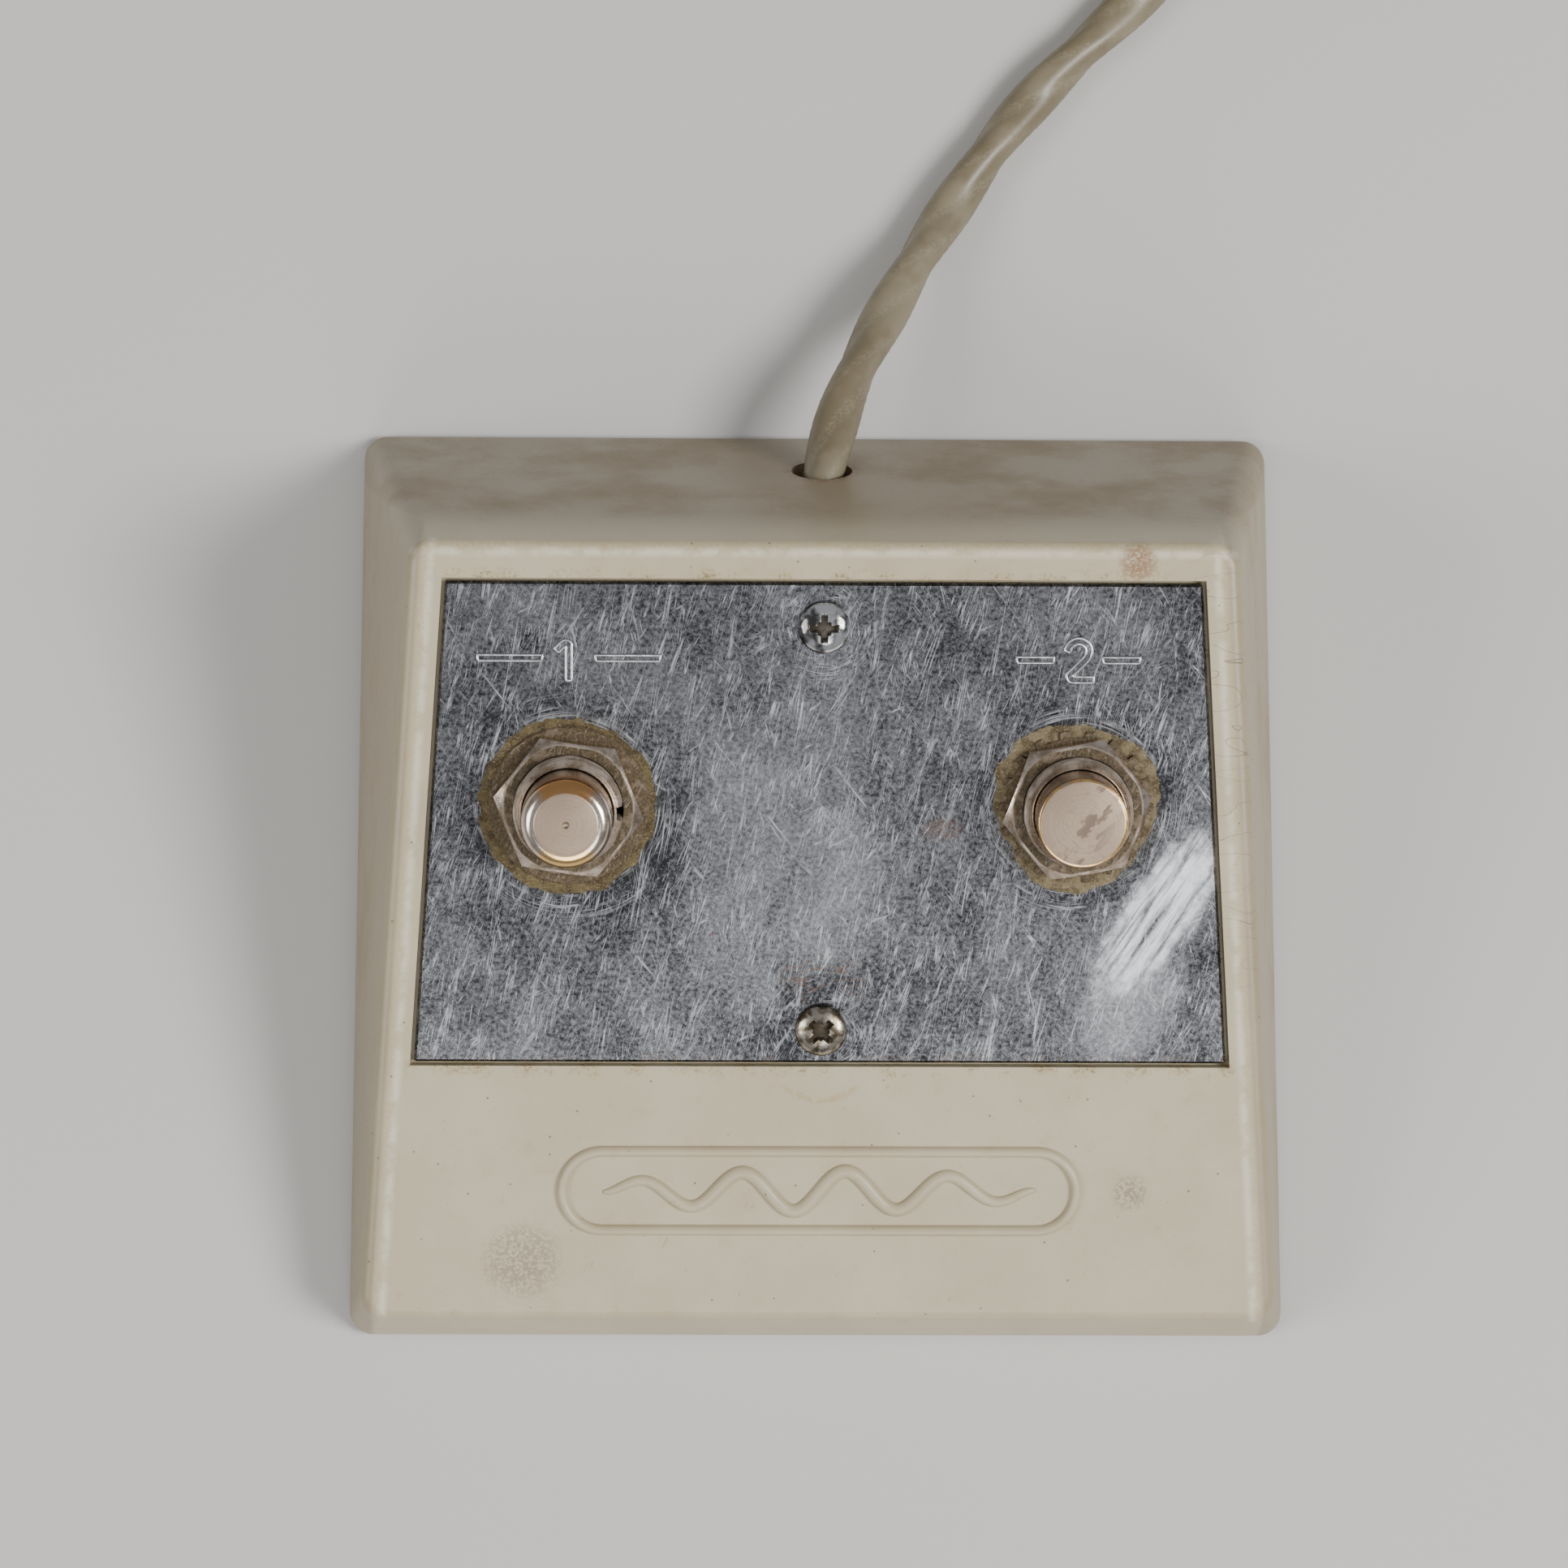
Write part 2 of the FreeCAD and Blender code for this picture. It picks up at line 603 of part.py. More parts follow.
def make_bushing(side, across, keyed):
    top = f"({STACK} + {side}_bushing_rise)"
    bore = "plunger_radius + running_gap"
    body = revolved(f"{side}_bushing_body", [
        (bore, LEDGE), (bore, f"{top} - bushing_chamfer / 2"),
        (f"{bore} + bushing_chamfer / 2", top), ("bushing_radius - bushing_chamfer", top),
        ("bushing_radius", f"{top} - bushing_chamfer"), ("bushing_radius", BUSHING_LOW),
        ("stem_radius + running_gap", BUSHING_LOW), ("stem_radius + running_gap", LEDGE),
    ])
    if keyed:
        key = new_sketch(body, f"{side}_keyway")
        draw_outline(key, [
            ("bushing_radius - keyway_depth", "-keyway_width / 2"),
            ("bushing_radius + overrun", "-keyway_width / 2"),
            ("bushing_radius + overrun", "keyway_width / 2"),
            ("bushing_radius - keyway_depth", "keyway_width / 2"),
        ])
        pocket(body, key, "2 * bushing_depth", upwards=True)
    node(on_plate(body, across), f"{side}_bushing")


def make_plunger(side, across):
    """A hollow cap with a stem down its middle; the spring sits between the two."""
    top = f"({STACK} + {side}_plunger_rise)"
    skirt = f"({LEDGE} + press_travel + stop_gap)"
    roof = f"{top} - cap_roof"
    profile = [
        ("0", STEM_LOW), ("stem_radius", STEM_LOW), ("stem_radius", roof), ("cap_bore", roof),
        ("cap_bore", skirt), ("plunger_radius", skirt),
        ("plunger_radius", f"{top} - {side}_crown_drop"), (f"{side}_crown_radius", top),
    ]
    if side == "left":
        profile += [("dimple_radius", top), ("0", f"{top} - dimple_depth")]
    else:
        profile += [("0", top)]
    node(on_plate(revolved(f"{side}_plunger_body", profile), across), f"{side}_plunger")


def make_spring(side, across):
    """The return spring, standing on the bushing's ledge inside the plunger's cap."""
    top = f"({STACK} + {side}_plunger_rise - cap_roof)"
    rise = f"({top} - {LEDGE} - spring_wire - 2 * running_gap)"
    coil = doc.addObject("Part::Helix", f"{side}_spring_line")
    bind(coil, Radius="spring_radius", Height=rise, Pitch=f"{rise} / spring_turns")
    ring = doc.addObject("Part::Circle", f"{side}_spring_ring")
    bind(ring, Radius="spring_wire / 2")
    ring.Placement = FreeCAD.Placement(FreeCAD.Vector(value("spring_radius"), 0, 0),
                                       FreeCAD.Rotation(FreeCAD.Vector(1, 0, 0), 90))
    bind(ring, **{".Placement.Base.x": "spring_radius"})
    sweep = doc.addObject("Part::Sweep", f"{side}_spring_wire")
    sweep.Sections = [ring]
    sweep.Spine = (coil, ["Edge1"])
    sweep.Solid = True
    sweep.Frenet = True
    node(on_plate(sweep, across, proud=f"{LEDGE} + spring_wire / 2 + running_gap"),
         f"{side}_return_spring")


def make_switch_works(side, across):
    """Case, contact block, rotor and lugs under the plate."""
    name = f"{side}_case"
    hollow_width, hollow_length = "case_width - 2 * case_wall", "case_length - 2 * case_wall"
    case = cut(f"{name}_cut", box(f"{name}_outer", "case_width", "case_length", "case_height",
                                  CASE_LOW), [
        box(f"{name}_hollow", hollow_width, hollow_length, "case_height - case_wall", CASE_LOW),
        cylinder(f"{name}_hole", "case_hole", "2 * case_wall", f"{BUSHING_LOW} - 1.5 * case_wall"),
    ])
    node(on_plate(case, across), f"{side}_switch_case")

    lug_spots = {"outer": "-lug_spacing / 2", "inner": "lug_spacing / 2"}
    block = joined(f"{side}_block_solid", [
        box(f"{side}_block", "case_width", "case_length", "block_height",
            f"{CASE_LOW} - block_height"),
        cylinder(f"{side}_shoulder", "pivot_shoulder", "rotor_thickness - running_gap", CASE_LOW),
        cylinder(f"{side}_pivot", "pivot_radius", "pivot_height", CASE_LOW),
    ])
    slots = [
        box(f"{side}_{spot}_slot", "lug_width + 2 * slot_gap", "lug_thickness + 2 * slot_gap",
            "2 * block_height", f"{CASE_LOW} - 1.5 * block_height", lug_x)
        for spot, lug_x in lug_spots.items()
    ]
    node(on_plate(cut(f"{side}_block_cut", block, slots), across), f"{side}_contact_block")

    rotor = new_body(f"{side}_rotor")
    disc = new_sketch(rotor, f"{side}_rotor_disc")
    draw_circle(disc, "rotor_radius")
    draw_circle(disc, "pivot_radius + running_gap")
    pad(rotor, disc, "rotor_thickness")
    notch = new_sketch(rotor, f"{side}_rotor_notch")
    draw_outline(notch, [
        ("rotor_radius - rotor_notch", "-rotor_notch / 2"),
        ("rotor_radius + overrun", "-rotor_notch / 2"),
        ("rotor_radius + overrun", "rotor_notch"),
    ])
    first = pocket(rotor, notch, "2 * rotor_thickness", upwards=True)
    ring = rotor.newObject("PartDesign::PolarPattern", f"{side}_rotor_ratchet")
    ring.Originals = [first]
    ring.Axis = (notch, ["N_Axis"])
    ring.Angle = 360
    ring.Occurrences = 8
    rotor.Tip = ring
    node(on_plate(rotor, across, proud=ROTOR_LOW), f"{side}_rotor")

    lugs = []
    for spot, lug_x in lug_spots.items():
        blade = box(f"{side}_{spot}_blade", "lug_width", "lug_thickness",
                    "block_height + lug_length", f"{CASE_LOW} - block_height - lug_length", lug_x)
        pin = cylinder(f"{side}_{spot}_contact", "contact_radius",
                       "rotor_thickness - 3 * running_gap", CASE_LOW, lug_x)
        eye = cylinder(f"{side}_{spot}_eye", "lug_hole", "4 * lug_thickness", LUG_EYE, lug_x,
                       "2 * lug_thickness")
        eye.Placement.Rotation = FreeCAD.Rotation(FreeCAD.Vector(1, 0, 0), 90)
        lugs.append(cut(f"{side}_{spot}_lug", joined(f"{side}_{spot}_strip", [blade, pin]), [eye]))
    node(on_plate(group(f"{side}_lug_pair", lugs), across), f"{side}_terminals")


def make_switch(side, across, nut_turn):
    keyed = side == "left"
    if keyed:
        washer = revolved("flat_washer", [
            ("bushing_radius + nut_bore_gap", "0"), ("washer_radius", "0"),
            ("washer_radius", "washer_thickness - washer_edge"),
            ("washer_radius - washer_edge", "washer_thickness"),
            ("bushing_radius + nut_bore_gap", "washer_thickness"),
        ])
        node(on_plate(washer, across), "left_flat_washer")
    else:
        make_tooth_washer("right_tooth_washer", across)
    make_nut(f"{side}_hex_nut", "nut_thickness", "washer_thickness", nut_turn, across)
    make_nut(f"{side}_jam_nut", "jam_nut_thickness", "-plate_thickness - jam_nut_thickness",
             30, across)
    make_bushing(side, across, keyed)
    make_plunger(side, across)
    make_spring(side, across)
    make_switch_works(side, across)


# ---------------------------------------------------------------- wiring, cord and plug

def lug_bead(side, sign):
    """The middle of the solder bead on one lug of a switch, in the part's own frame."""
    local = FreeCAD.Vector(sign * value("lug_spacing / 2"),
                           value("lug_thickness / 2 + 0.7 * solder_radius"), value(LUG_EYE))
    return NODES[f"{side}_terminals"].Placement.multVec(local)


def cord_start():
    """The cord's cut end inside the housing, and the direction that it points in."""
    end, follower = FreeCAD.Vector(*CORD_ROUTE[0]), FreeCAD.Vector(*CORD_ROUTE[1])
    return end, (end - follower).normalize()


def make_wiring():
    """Three wires out of the cord's end and one link between the switches, all soldered."""
    beads = {(side, sign): lug_bead(side, sign) for side in ("left", "right") for sign in (-1, 1)}
    solids = []
    for (side, sign), spot in beads.items():
        bead = doc.addObject("Part::Sphere", f"{side}_bead_{'a' if sign < 0 else 'b'}")
        bind(bead, Radius="solder_radius")
        bead.Placement.Base = spot
        solids.append(bead)
    node(group("solder_set", solids), "solder_joints")

    reach, wire = value("solder_reach"), value("wire_diameter")
    cord_end, inwards = cord_start()
    across = inwards.cross(FreeCAD.Vector(0, 0, 1)).normalize()
    wires = {
        "left_signal_wire": (1.8, 3.0, 3.4, beads["left", -1]),
        "common_wire": (0.0, 5.0, 1.2, beads["left", 1]),
        "right_signal_wire": (-1.8, 4.0, 2.4, beads["right", 1]),
    }
    for name, (offset, lead, drop, end) in wires.items():
        start = cord_end + across * offset
        away = start + inwards * lead
        spread = 0.35 * (end.x - start.x)
        points = [
            tuple(start), tuple(away), (away.x + spread, away.y - 4.5, away.z - drop),
            (end.x - 0.2 * spread, end.y + reach + 5.0, end.z + 0.9),
            (end.x, end.y + reach, end.z),
        ]
        node(tube(name, points, wire), name)

    first, last = beads["left", 1], beads["right", -1]
    points = [
        (first.x + reach, first.y, first.z), (first.x + 7.5, first.y + 0.4, first.z - 0.5),
        ((first.x + last.x) / 2, first.y + 1.6, first.z - 1.4),
        (last.x - 7.5, last.y + 0.4, last.z - 0.5), (last.x - reach, last.y, last.z),
    ]
    node(tube("switch_link_wire", points, wire), "switch_link_wire")


def make_cord():
    diameter = value("cord_diameter")
    node(tube("cord_tube", CORD_ROUTE, diameter), "cord_tube")
    node(tube("cord_tail", TAIL_ROUTE, diameter), "cord_tail")

    clip = revolved("cord_stop", [
        ("cord_diameter / 2 - clip_bite", "0"), ("cord_diameter / 2 + clip_wall", "0"),
        ("cord_diameter / 2 + clip_wall", "clip_length"),
        ("cord_diameter / 2 - clip_bite", "clip_length"),
    ])
    cord_end, inwards = cord_start()
    clip.Placement = FreeCAD.Placement(cord_end - inwards * value("clip_from_end"),
                                       FreeCAD.Rotation(FreeCAD.Vector(0, 0, -1), inwards))
    node(clip, "cord_clip")

    inner, outer = "coil_radius - coil_width / 2", "coil_radius + coil_width / 2"
    coil = revolved("coil_ring", [
        (inner, "coil_round"), (f"{inner} + coil_round / 2", "0"), (f"{outer} - coil_round", "0"),
        (outer, "coil_round"), (outer, "coil_height - coil_round"),
        (f"{outer} - coil_round", "coil_height"), (f"{inner} + coil_round", "coil_height"),
        (inner, "coil_height - coil_round"),
    ])
    coil.Placement.Base = FreeCAD.Vector(*COIL_CENTRE, 0)
    node(coil, "cord_coil")


def make_plug():
    """A three-contact phone plug, lying on the floor and pointing along -X."""
    handle_from, handle_to = "(relief_length)", "(relief_length + handle_length)"
    sleeve_from = f"({handle_to} + flange_length)"
    sleeve_to = f"({sleeve_from} + sleeve_length)"
    ring_from = f"({sleeve_to} + insulator_length)"
    ring_to = f"({ring_from} + ring_length)"
    tip_from = f"({ring_to} + insulator_length)"
    tip_to = f"({tip_from} + tip_length)"

    def plug_piece(label, profile):
        piece = revolved(f"{label}_body", profile)
        piece.Placement = FreeCAD.Placement(FreeCAD.Vector(*PLUG_START, value("plug_radius")),
                                            FreeCAD.Rotation(FreeCAD.Vector(0, -1, 0), 90))
        bind(piece, **{".Placement.Base.z": "plug_radius"})
        return piece

    pieces = {
        "plug_relief": [
            ("0", "0"), ("relief_tip_radius", "0"), ("relief_radius", handle_from),
            ("0", handle_from),
        ],
        "plug_handle": [
            ("0", handle_from), ("plug_neck_radius - plug_neck_edge", handle_from),
            ("plug_neck_radius", f"{handle_from} + plug_neck_edge"),
            ("plug_radius", f"{handle_from} + plug_neck_length"),
            ("plug_radius", f"{handle_to} - plug_edge"),
            ("plug_radius - plug_edge", handle_to), ("0", handle_to),
        ],
        "plug_sleeve": [
            ("0", handle_to), ("flange_radius", handle_to), ("flange_radius", sleeve_from),
            ("finger_radius", sleeve_from), ("finger_radius", sleeve_to), ("0", sleeve_to),
        ],
        "plug_ring": [
            ("0", ring_from), ("finger_radius", ring_from), ("finger_radius", ring_to),
            ("0", ring_to),
        ],
        "plug_tip": [
            ("0", tip_from), ("finger_radius", tip_from),
            ("finger_radius", f"{tip_from} + tip_shoulder"),
            ("tip_neck_radius", f"{tip_from} + tip_neck"),
            ("finger_radius", f"{tip_from} + tip_swell"),
            ("0.5 * finger_radius", f"{tip_to} - tip_nose"),
            ("0.2 * finger_radius", tip_to), ("0", tip_to),
        ],
    }
    for label, profile in pieces.items():
        node(plug_piece(label, profile), label)
    spacers = [
        plug_piece(f"plug_spacer_{i}", [
            ("0", low), ("insulator_radius", low), ("insulator_radius", high), ("0", high),
        ])
        for i, (low, high) in enumerate(((sleeve_to, ring_from), (ring_to, tip_from)))
    ]
    node(group("plug_spacers", spacers), "plug_insulators")


# ---------------------------------------------------------------- assembly

def check_all():
    doc.recompute()
    for thing in doc.Objects:
        assert not {"Invalid", "Error"} & set(thing.State), f"{thing.Name} failed: {thing.State}"
    for label, thing in NODES.items():
        assert not thing.Shape.isNull() and thing.Shape.isValid(), f"{label} has no valid shape"
        assert thing.Shape.Solids, f"{label} has no solid"


def export_all():
    os.makedirs("parts", exist_ok=True)
    for label, thing in NODES.items():
        thing.Shape.exportStep(f"parts/{label}.step")


make_housing()
make_cover()
make_feet()
make_plate()
make_plate_screws()
make_switch("left", "-switch_spacing / 2", -8)
make_switch("right", "switch_spacing / 2", 10)
doc.recompute()
make_wiring()
make_cord()
make_plug()
check_all()
export_all()
print(len(NODES), "sub-parts")
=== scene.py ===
"""A two-button floor switch with its cord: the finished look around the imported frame."""

import json
import logging
import math
from dataclasses import dataclass, field
from enum import Enum
from typing import Callable, Sequence, Union

import bpy
import numpy as np
from mathutils import Euler, Matrix, Vector

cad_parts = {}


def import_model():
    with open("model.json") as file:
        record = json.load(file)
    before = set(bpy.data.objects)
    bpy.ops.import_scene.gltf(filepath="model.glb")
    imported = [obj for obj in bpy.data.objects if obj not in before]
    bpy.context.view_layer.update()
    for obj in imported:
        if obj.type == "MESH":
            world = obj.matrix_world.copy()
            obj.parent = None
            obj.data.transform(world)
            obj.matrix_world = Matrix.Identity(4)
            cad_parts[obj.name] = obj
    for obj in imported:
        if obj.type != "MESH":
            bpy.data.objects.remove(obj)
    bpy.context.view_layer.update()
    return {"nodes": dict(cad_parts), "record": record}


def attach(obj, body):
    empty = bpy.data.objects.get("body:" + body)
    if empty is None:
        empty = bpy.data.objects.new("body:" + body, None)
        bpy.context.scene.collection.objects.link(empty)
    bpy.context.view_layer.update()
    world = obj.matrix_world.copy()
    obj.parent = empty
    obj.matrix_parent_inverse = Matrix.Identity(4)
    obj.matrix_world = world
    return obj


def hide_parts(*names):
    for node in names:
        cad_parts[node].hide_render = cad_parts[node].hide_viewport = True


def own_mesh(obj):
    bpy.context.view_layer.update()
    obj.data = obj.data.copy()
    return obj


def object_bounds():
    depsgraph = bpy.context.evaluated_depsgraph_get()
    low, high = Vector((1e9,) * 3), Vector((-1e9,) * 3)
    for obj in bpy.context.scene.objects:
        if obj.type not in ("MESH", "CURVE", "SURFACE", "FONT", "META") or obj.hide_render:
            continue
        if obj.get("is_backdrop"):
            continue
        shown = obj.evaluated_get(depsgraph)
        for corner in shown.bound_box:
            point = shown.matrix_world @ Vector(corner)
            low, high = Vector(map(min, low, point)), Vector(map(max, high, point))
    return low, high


LOG = logging.getLogger("floor_switch")
MM = 0.001
MAIN_BODY = "switch_unit"
Colour = tuple[float, float, float]
Triple = tuple[float, float, float]
UP = np.array([0.0, 0.0, 1.0])
# The two plate screws' places up the slope from the line between the switches, in millimetres.
SCREW_BACK = 19.7
SCREW_FRONT = -25.05


# ---------------------------------------------------------------- shader maths

class Field:
    """A number, colour or vector that varies over a surface, with Python's operators."""

    def __init__(self, tree: "Tree", socket: bpy.types.NodeSocket) -> None:
        """Keeps the socket that the value comes from.

        Args:
            tree: The material that the socket is in.
            socket: The output socket.
        """
        self.tree = tree
        self.socket = socket

    def math(self, operation: str, *terms: "Value") -> "Field":
        """A Math node on this value and others.

        Args:
            operation: The node's operation.
            terms: The inputs in order.

        Returns:
            The node's result.
        """
        inputs = dict(enumerate(terms))
        return self.tree.node("ShaderNodeMath", {"operation": operation}, inputs)

    def __add__(self, other: "Value") -> "Field":
        """Sum."""
        return self.math("ADD", self, other)

    def __radd__(self, other: "Value") -> "Field":
        """Sum, the other way round."""
        return self.math("ADD", other, self)

    def __sub__(self, other: "Value") -> "Field":
        """Difference."""
        return self.math("SUBTRACT", self, other)

    def __rsub__(self, other: "Value") -> "Field":
        """Difference, the other way round."""
        return self.math("SUBTRACT", other, self)

    def __mul__(self, other: "Value") -> "Field":
        """Product."""
        return self.math("MULTIPLY", self, other)

    def __rmul__(self, other: "Value") -> "Field":
        """Product, the other way round."""
        return self.math("MULTIPLY", other, self)

    def __truediv__(self, other: "Value") -> "Field":
        """Quotient."""
        return self.math("DIVIDE", self, other)

    def __abs__(self) -> "Field":
        """Size without sign."""
        return self.math("ABSOLUTE", self)

    def most(self, other: "Value") -> "Field":
        """The larger of two values."""
        return self.math("MAXIMUM", self, other)

    def least(self, other: "Value") -> "Field":
        """The smaller of two values."""
        return self.math("MINIMUM", self, other)

    def root(self) -> "Field":
        """Square root."""
        return self.math("SQRT", self)

    def rise(self, low: float, high: float) -> "Field":
        """A smooth step.

        Args:
            low: Where the step starts, at 0.
            high: Where it ends, at 1; below low for a falling step.

        Returns:
            A value from 0 to 1.
        """
        falling = high < low
        ends = (1.0, 0.0) if falling else (0.0, 1.0)
        return self.tree.node(
            "ShaderNodeMapRange", {"interpolation_type": "SMOOTHSTEP"},
            {0: self, 1: min(low, high), 2: max(low, high), 3: ends[0], 4: ends[1]})

    def near(self, middle: float, reach: float) -> "Field":
        """1 at a value and 0 a reach away on both sides of it."""
        return abs(self - middle).rise(reach, 0.0)


Value = Union[Field, float]


def distance(x: Field, y: Field) -> Field:
    """Distance from the middle, from two coordinates."""
    return (x * x + y * y).root()


class Tree:
    """One material's nodes, ending in a Principled shader."""

    def __init__(self, name: str) -> None:
        """Makes an empty material.

        Args:
            name: The finish's name.
        """
        self.material = bpy.data.materials.new(name)
        self.material.use_nodes = True
        self.nodes = self.material.node_tree.nodes
        self.links = self.material.node_tree.links
        self.shader = self.nodes["Principled BSDF"]

    def node(self, kind: str, settings: dict, inputs: dict, output: int = 0) -> Field:
        """Adds a node, sets it up and feeds it.

        Args:
            kind: The node's type.
            settings: Its own settings, which are set first.
            inputs: Values or fields by socket name or number.
            output: The number of the output socket wanted.

        Returns:
            That output.
        """
        made = self.nodes.new(kind)
        for key, setting in settings.items():
            setattr(made, key, setting)
        for key, term in inputs.items():
            self.feed(made.inputs[key], term)
        return Field(self, made.outputs[output])

    def feed(self, socket: bpy.types.NodeSocket, term: object) -> None:
        """Links a field to a socket, or sets the socket's own value."""
        if isinstance(term, Field):
            self.links.new(term.socket, socket)
        elif isinstance(term, tuple) and socket.type == "RGBA":
            socket.default_value = (*term, 1.0)
        else:
            socket.default_value = term

    def place(self) -> Field:
        """Object coordinates in metres."""
        return self.node("ShaderNodeTexCoord", {}, {}, 3)

    def uv(self) -> Field:
        """The piece's own UV map."""
        return self.node("ShaderNodeTexCoord", {}, {}, 2)

    def local(self, origin: Vector, turn: Euler) -> Field:
        """Object coordinates in millimetres, seen from a frame of its own.

        Args:
            origin: The frame's origin in metres.
            turn: The frame's rotation.

        Returns:
            The vector in that frame.
        """
        return self.node("ShaderNodeMapping", {"vector_type": "TEXTURE"}, {
            0: self.place(), 1: tuple(origin), 2: tuple(turn), 3: (MM, MM, MM)})

    def turned(self, vector: Field, degrees: float, stretch: Triple) -> Field:
        """A vector turned about Z and stretched, for patterns with a grain."""
        return self.node("ShaderNodeMapping", {"vector_type": "POINT"}, {
            0: self.node("ShaderNodeMapping", {"vector_type": "POINT"},
                         {0: vector, 2: (0.0, 0.0, math.radians(degrees))}),
            3: stretch})

    def split(self, vector: Field) -> tuple[Field, Field, Field]:
        """The three parts of a vector."""
        parts = self.nodes.new("ShaderNodeSeparateXYZ")
        self.links.new(vector.socket, parts.inputs[0])
        return tuple(Field(self, out) for out in parts.outputs)

    def joined(self, x: Value, y: Value, z: Value) -> Field:
        """A vector out of three numbers."""
        return self.node("ShaderNodeCombineXYZ", {}, {0: x, 1: y, 2: z})

    def noise(self, vector: Field, scale: float, detail: float = 2.0, rough: float = 0.5,
              warp: float = 0.0) -> Field:
        """Cloudy noise, about one lump to each 1/scale, mostly from 0.3 to 0.7."""
        return self.node("ShaderNodeTexNoise", {"noise_dimensions": "3D"}, {
            "Vector": vector, "Scale": scale, "Detail": detail, "Roughness": rough,
            "Distortion": warp})

    def specks(self, vector: Field, scale: float, size: float) -> Field:
        """Round specks, one to each 1/scale, size times that wide; 1 inside."""
        gap = self.node("ShaderNodeTexVoronoi", {"feature": "F1"},
                        {"Vector": vector, "Scale": scale, "Randomness": 1.0})
        return gap.rise(size, 0.4 * size)

    def lines(self, vector: Field, scale: float, width: float, warp: float = 0.3) -> Field:
        """Thin wandering lines, where noise passes its middle; 1 on the line."""
        return self.noise(vector, scale, 1.0, 0.5, warp).near(0.5, width)

    def mix(self, share: Value, first: object, second: object) -> Field:
        """First colour where share is 0, second where it is 1."""
        return self.node("ShaderNodeMix", {"data_type": "RGBA"},
                         {0: share, 6: first, 7: second}, 2)

    def bump(self, height: Field, depth: float, strength: float = 1.0) -> Field:
        """A normal from a height of 0 to 1, depth in metres."""
        return self.node("ShaderNodeBump", {}, {
            "Height": height, "Distance": depth, "Strength": strength})

    def finish(self, **sockets: object) -> bpy.types.Material:
        """Feeds the shader and gives the material.

        Args:
            sockets: Values or fields by the shader's socket names, with _ for spaces.

        Returns:
            The material.
        """
        for key, term in sockets.items():
            self.feed(self.shader.inputs[key.replace("_", " ")], term)
        return self.material


# ---------------------------------------------------------------- frames on the object

@dataclass(frozen=True)
class Seat:
    """A frame on the object: where it is and which way its Z points."""

    origin: Vector
    turn: Euler

    @property
    def matrix(self) -> np.ndarray:
        """The rotation as an array."""
        return np.array(self.turn.to_matrix())

    def lay(self, points: np.ndarray) -> np.ndarray:
        """Points in millimetres in this frame, moved to metres in the row frame.

        Args:
            points: Array whose last axis is x, y, z.

        Returns:
            Array of the same shape.
        """
        return points @ self.matrix.T * MM + np.array(self.origin)


class Frames:
    """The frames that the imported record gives: the plate and the two switches."""

    SEAT_ABOVE_PIVOT = 14.0

    def __init__(self, record: dict) -> None:
        """Reads the pivots of the two ratchets.

        Args:
            record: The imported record.
        """
        joints = {joint["name"]: joint for joint in record["behaviour"]["joints"]}
        self.switches: dict[str, Seat] = {}
        for side in ("left", "right"):
            pivot = joints[f"{side}_ratchet_turn"]
            up = Vector(pivot["axis"]).normalized()
            turn = Euler((math.atan2(-up.y, up.z), 0.0, 0.0))
            origin = Vector(pivot["pos_m"]) + up * self.SEAT_ABOVE_PIVOT * MM
            self.switches[side] = Seat(origin, turn)
        left, right = self.switches["left"], self.switches["right"]
        self.plate = Seat((left.origin + right.origin) / 2, left.turn)
        self.spread = (right.origin.x - left.origin.x) / 2 / MM


# ---------------------------------------------------------------- meshes

def unit_circle(count: int) -> np.ndarray:
    """Angles all round, without the last one that repeats the first."""
    return np.linspace(0.0, 2.0 * np.pi, count, endpoint=False)


def grid_faces(rows: int, columns: int, wrap: bool) -> np.ndarray:
    """Quads between the points of a grid, each row joined to the next.

    Args:
        rows: Points along.
        columns: Points across.
        wrap: Whether the last column joins the first.

    Returns:
        Four point numbers for each face.
    """
    row = np.arange(rows - 1)[:, None]
    column = np.arange(columns if wrap else columns - 1)[None, :]
    after = (column + 1) % columns
    corners = (row * columns + column, row * columns + after,
               (row + 1) * columns + after, (row + 1) * columns + column)
    return np.stack(np.broadcast_arrays(*corners), axis=-1).reshape(-1, 4)


def signed_volume(points: np.ndarray, quads: np.ndarray) -> float:
    """Volume that the quads enclose, negative where they face inwards."""
    a, b, c, d = (points[quads[:, i]] for i in range(4))
    one = np.einsum("ij,ij->i", a, np.cross(b, c)).sum()
    two = np.einsum("ij,ij->i", a, np.cross(c, d)).sum()
    return float(one + two) / 6.0


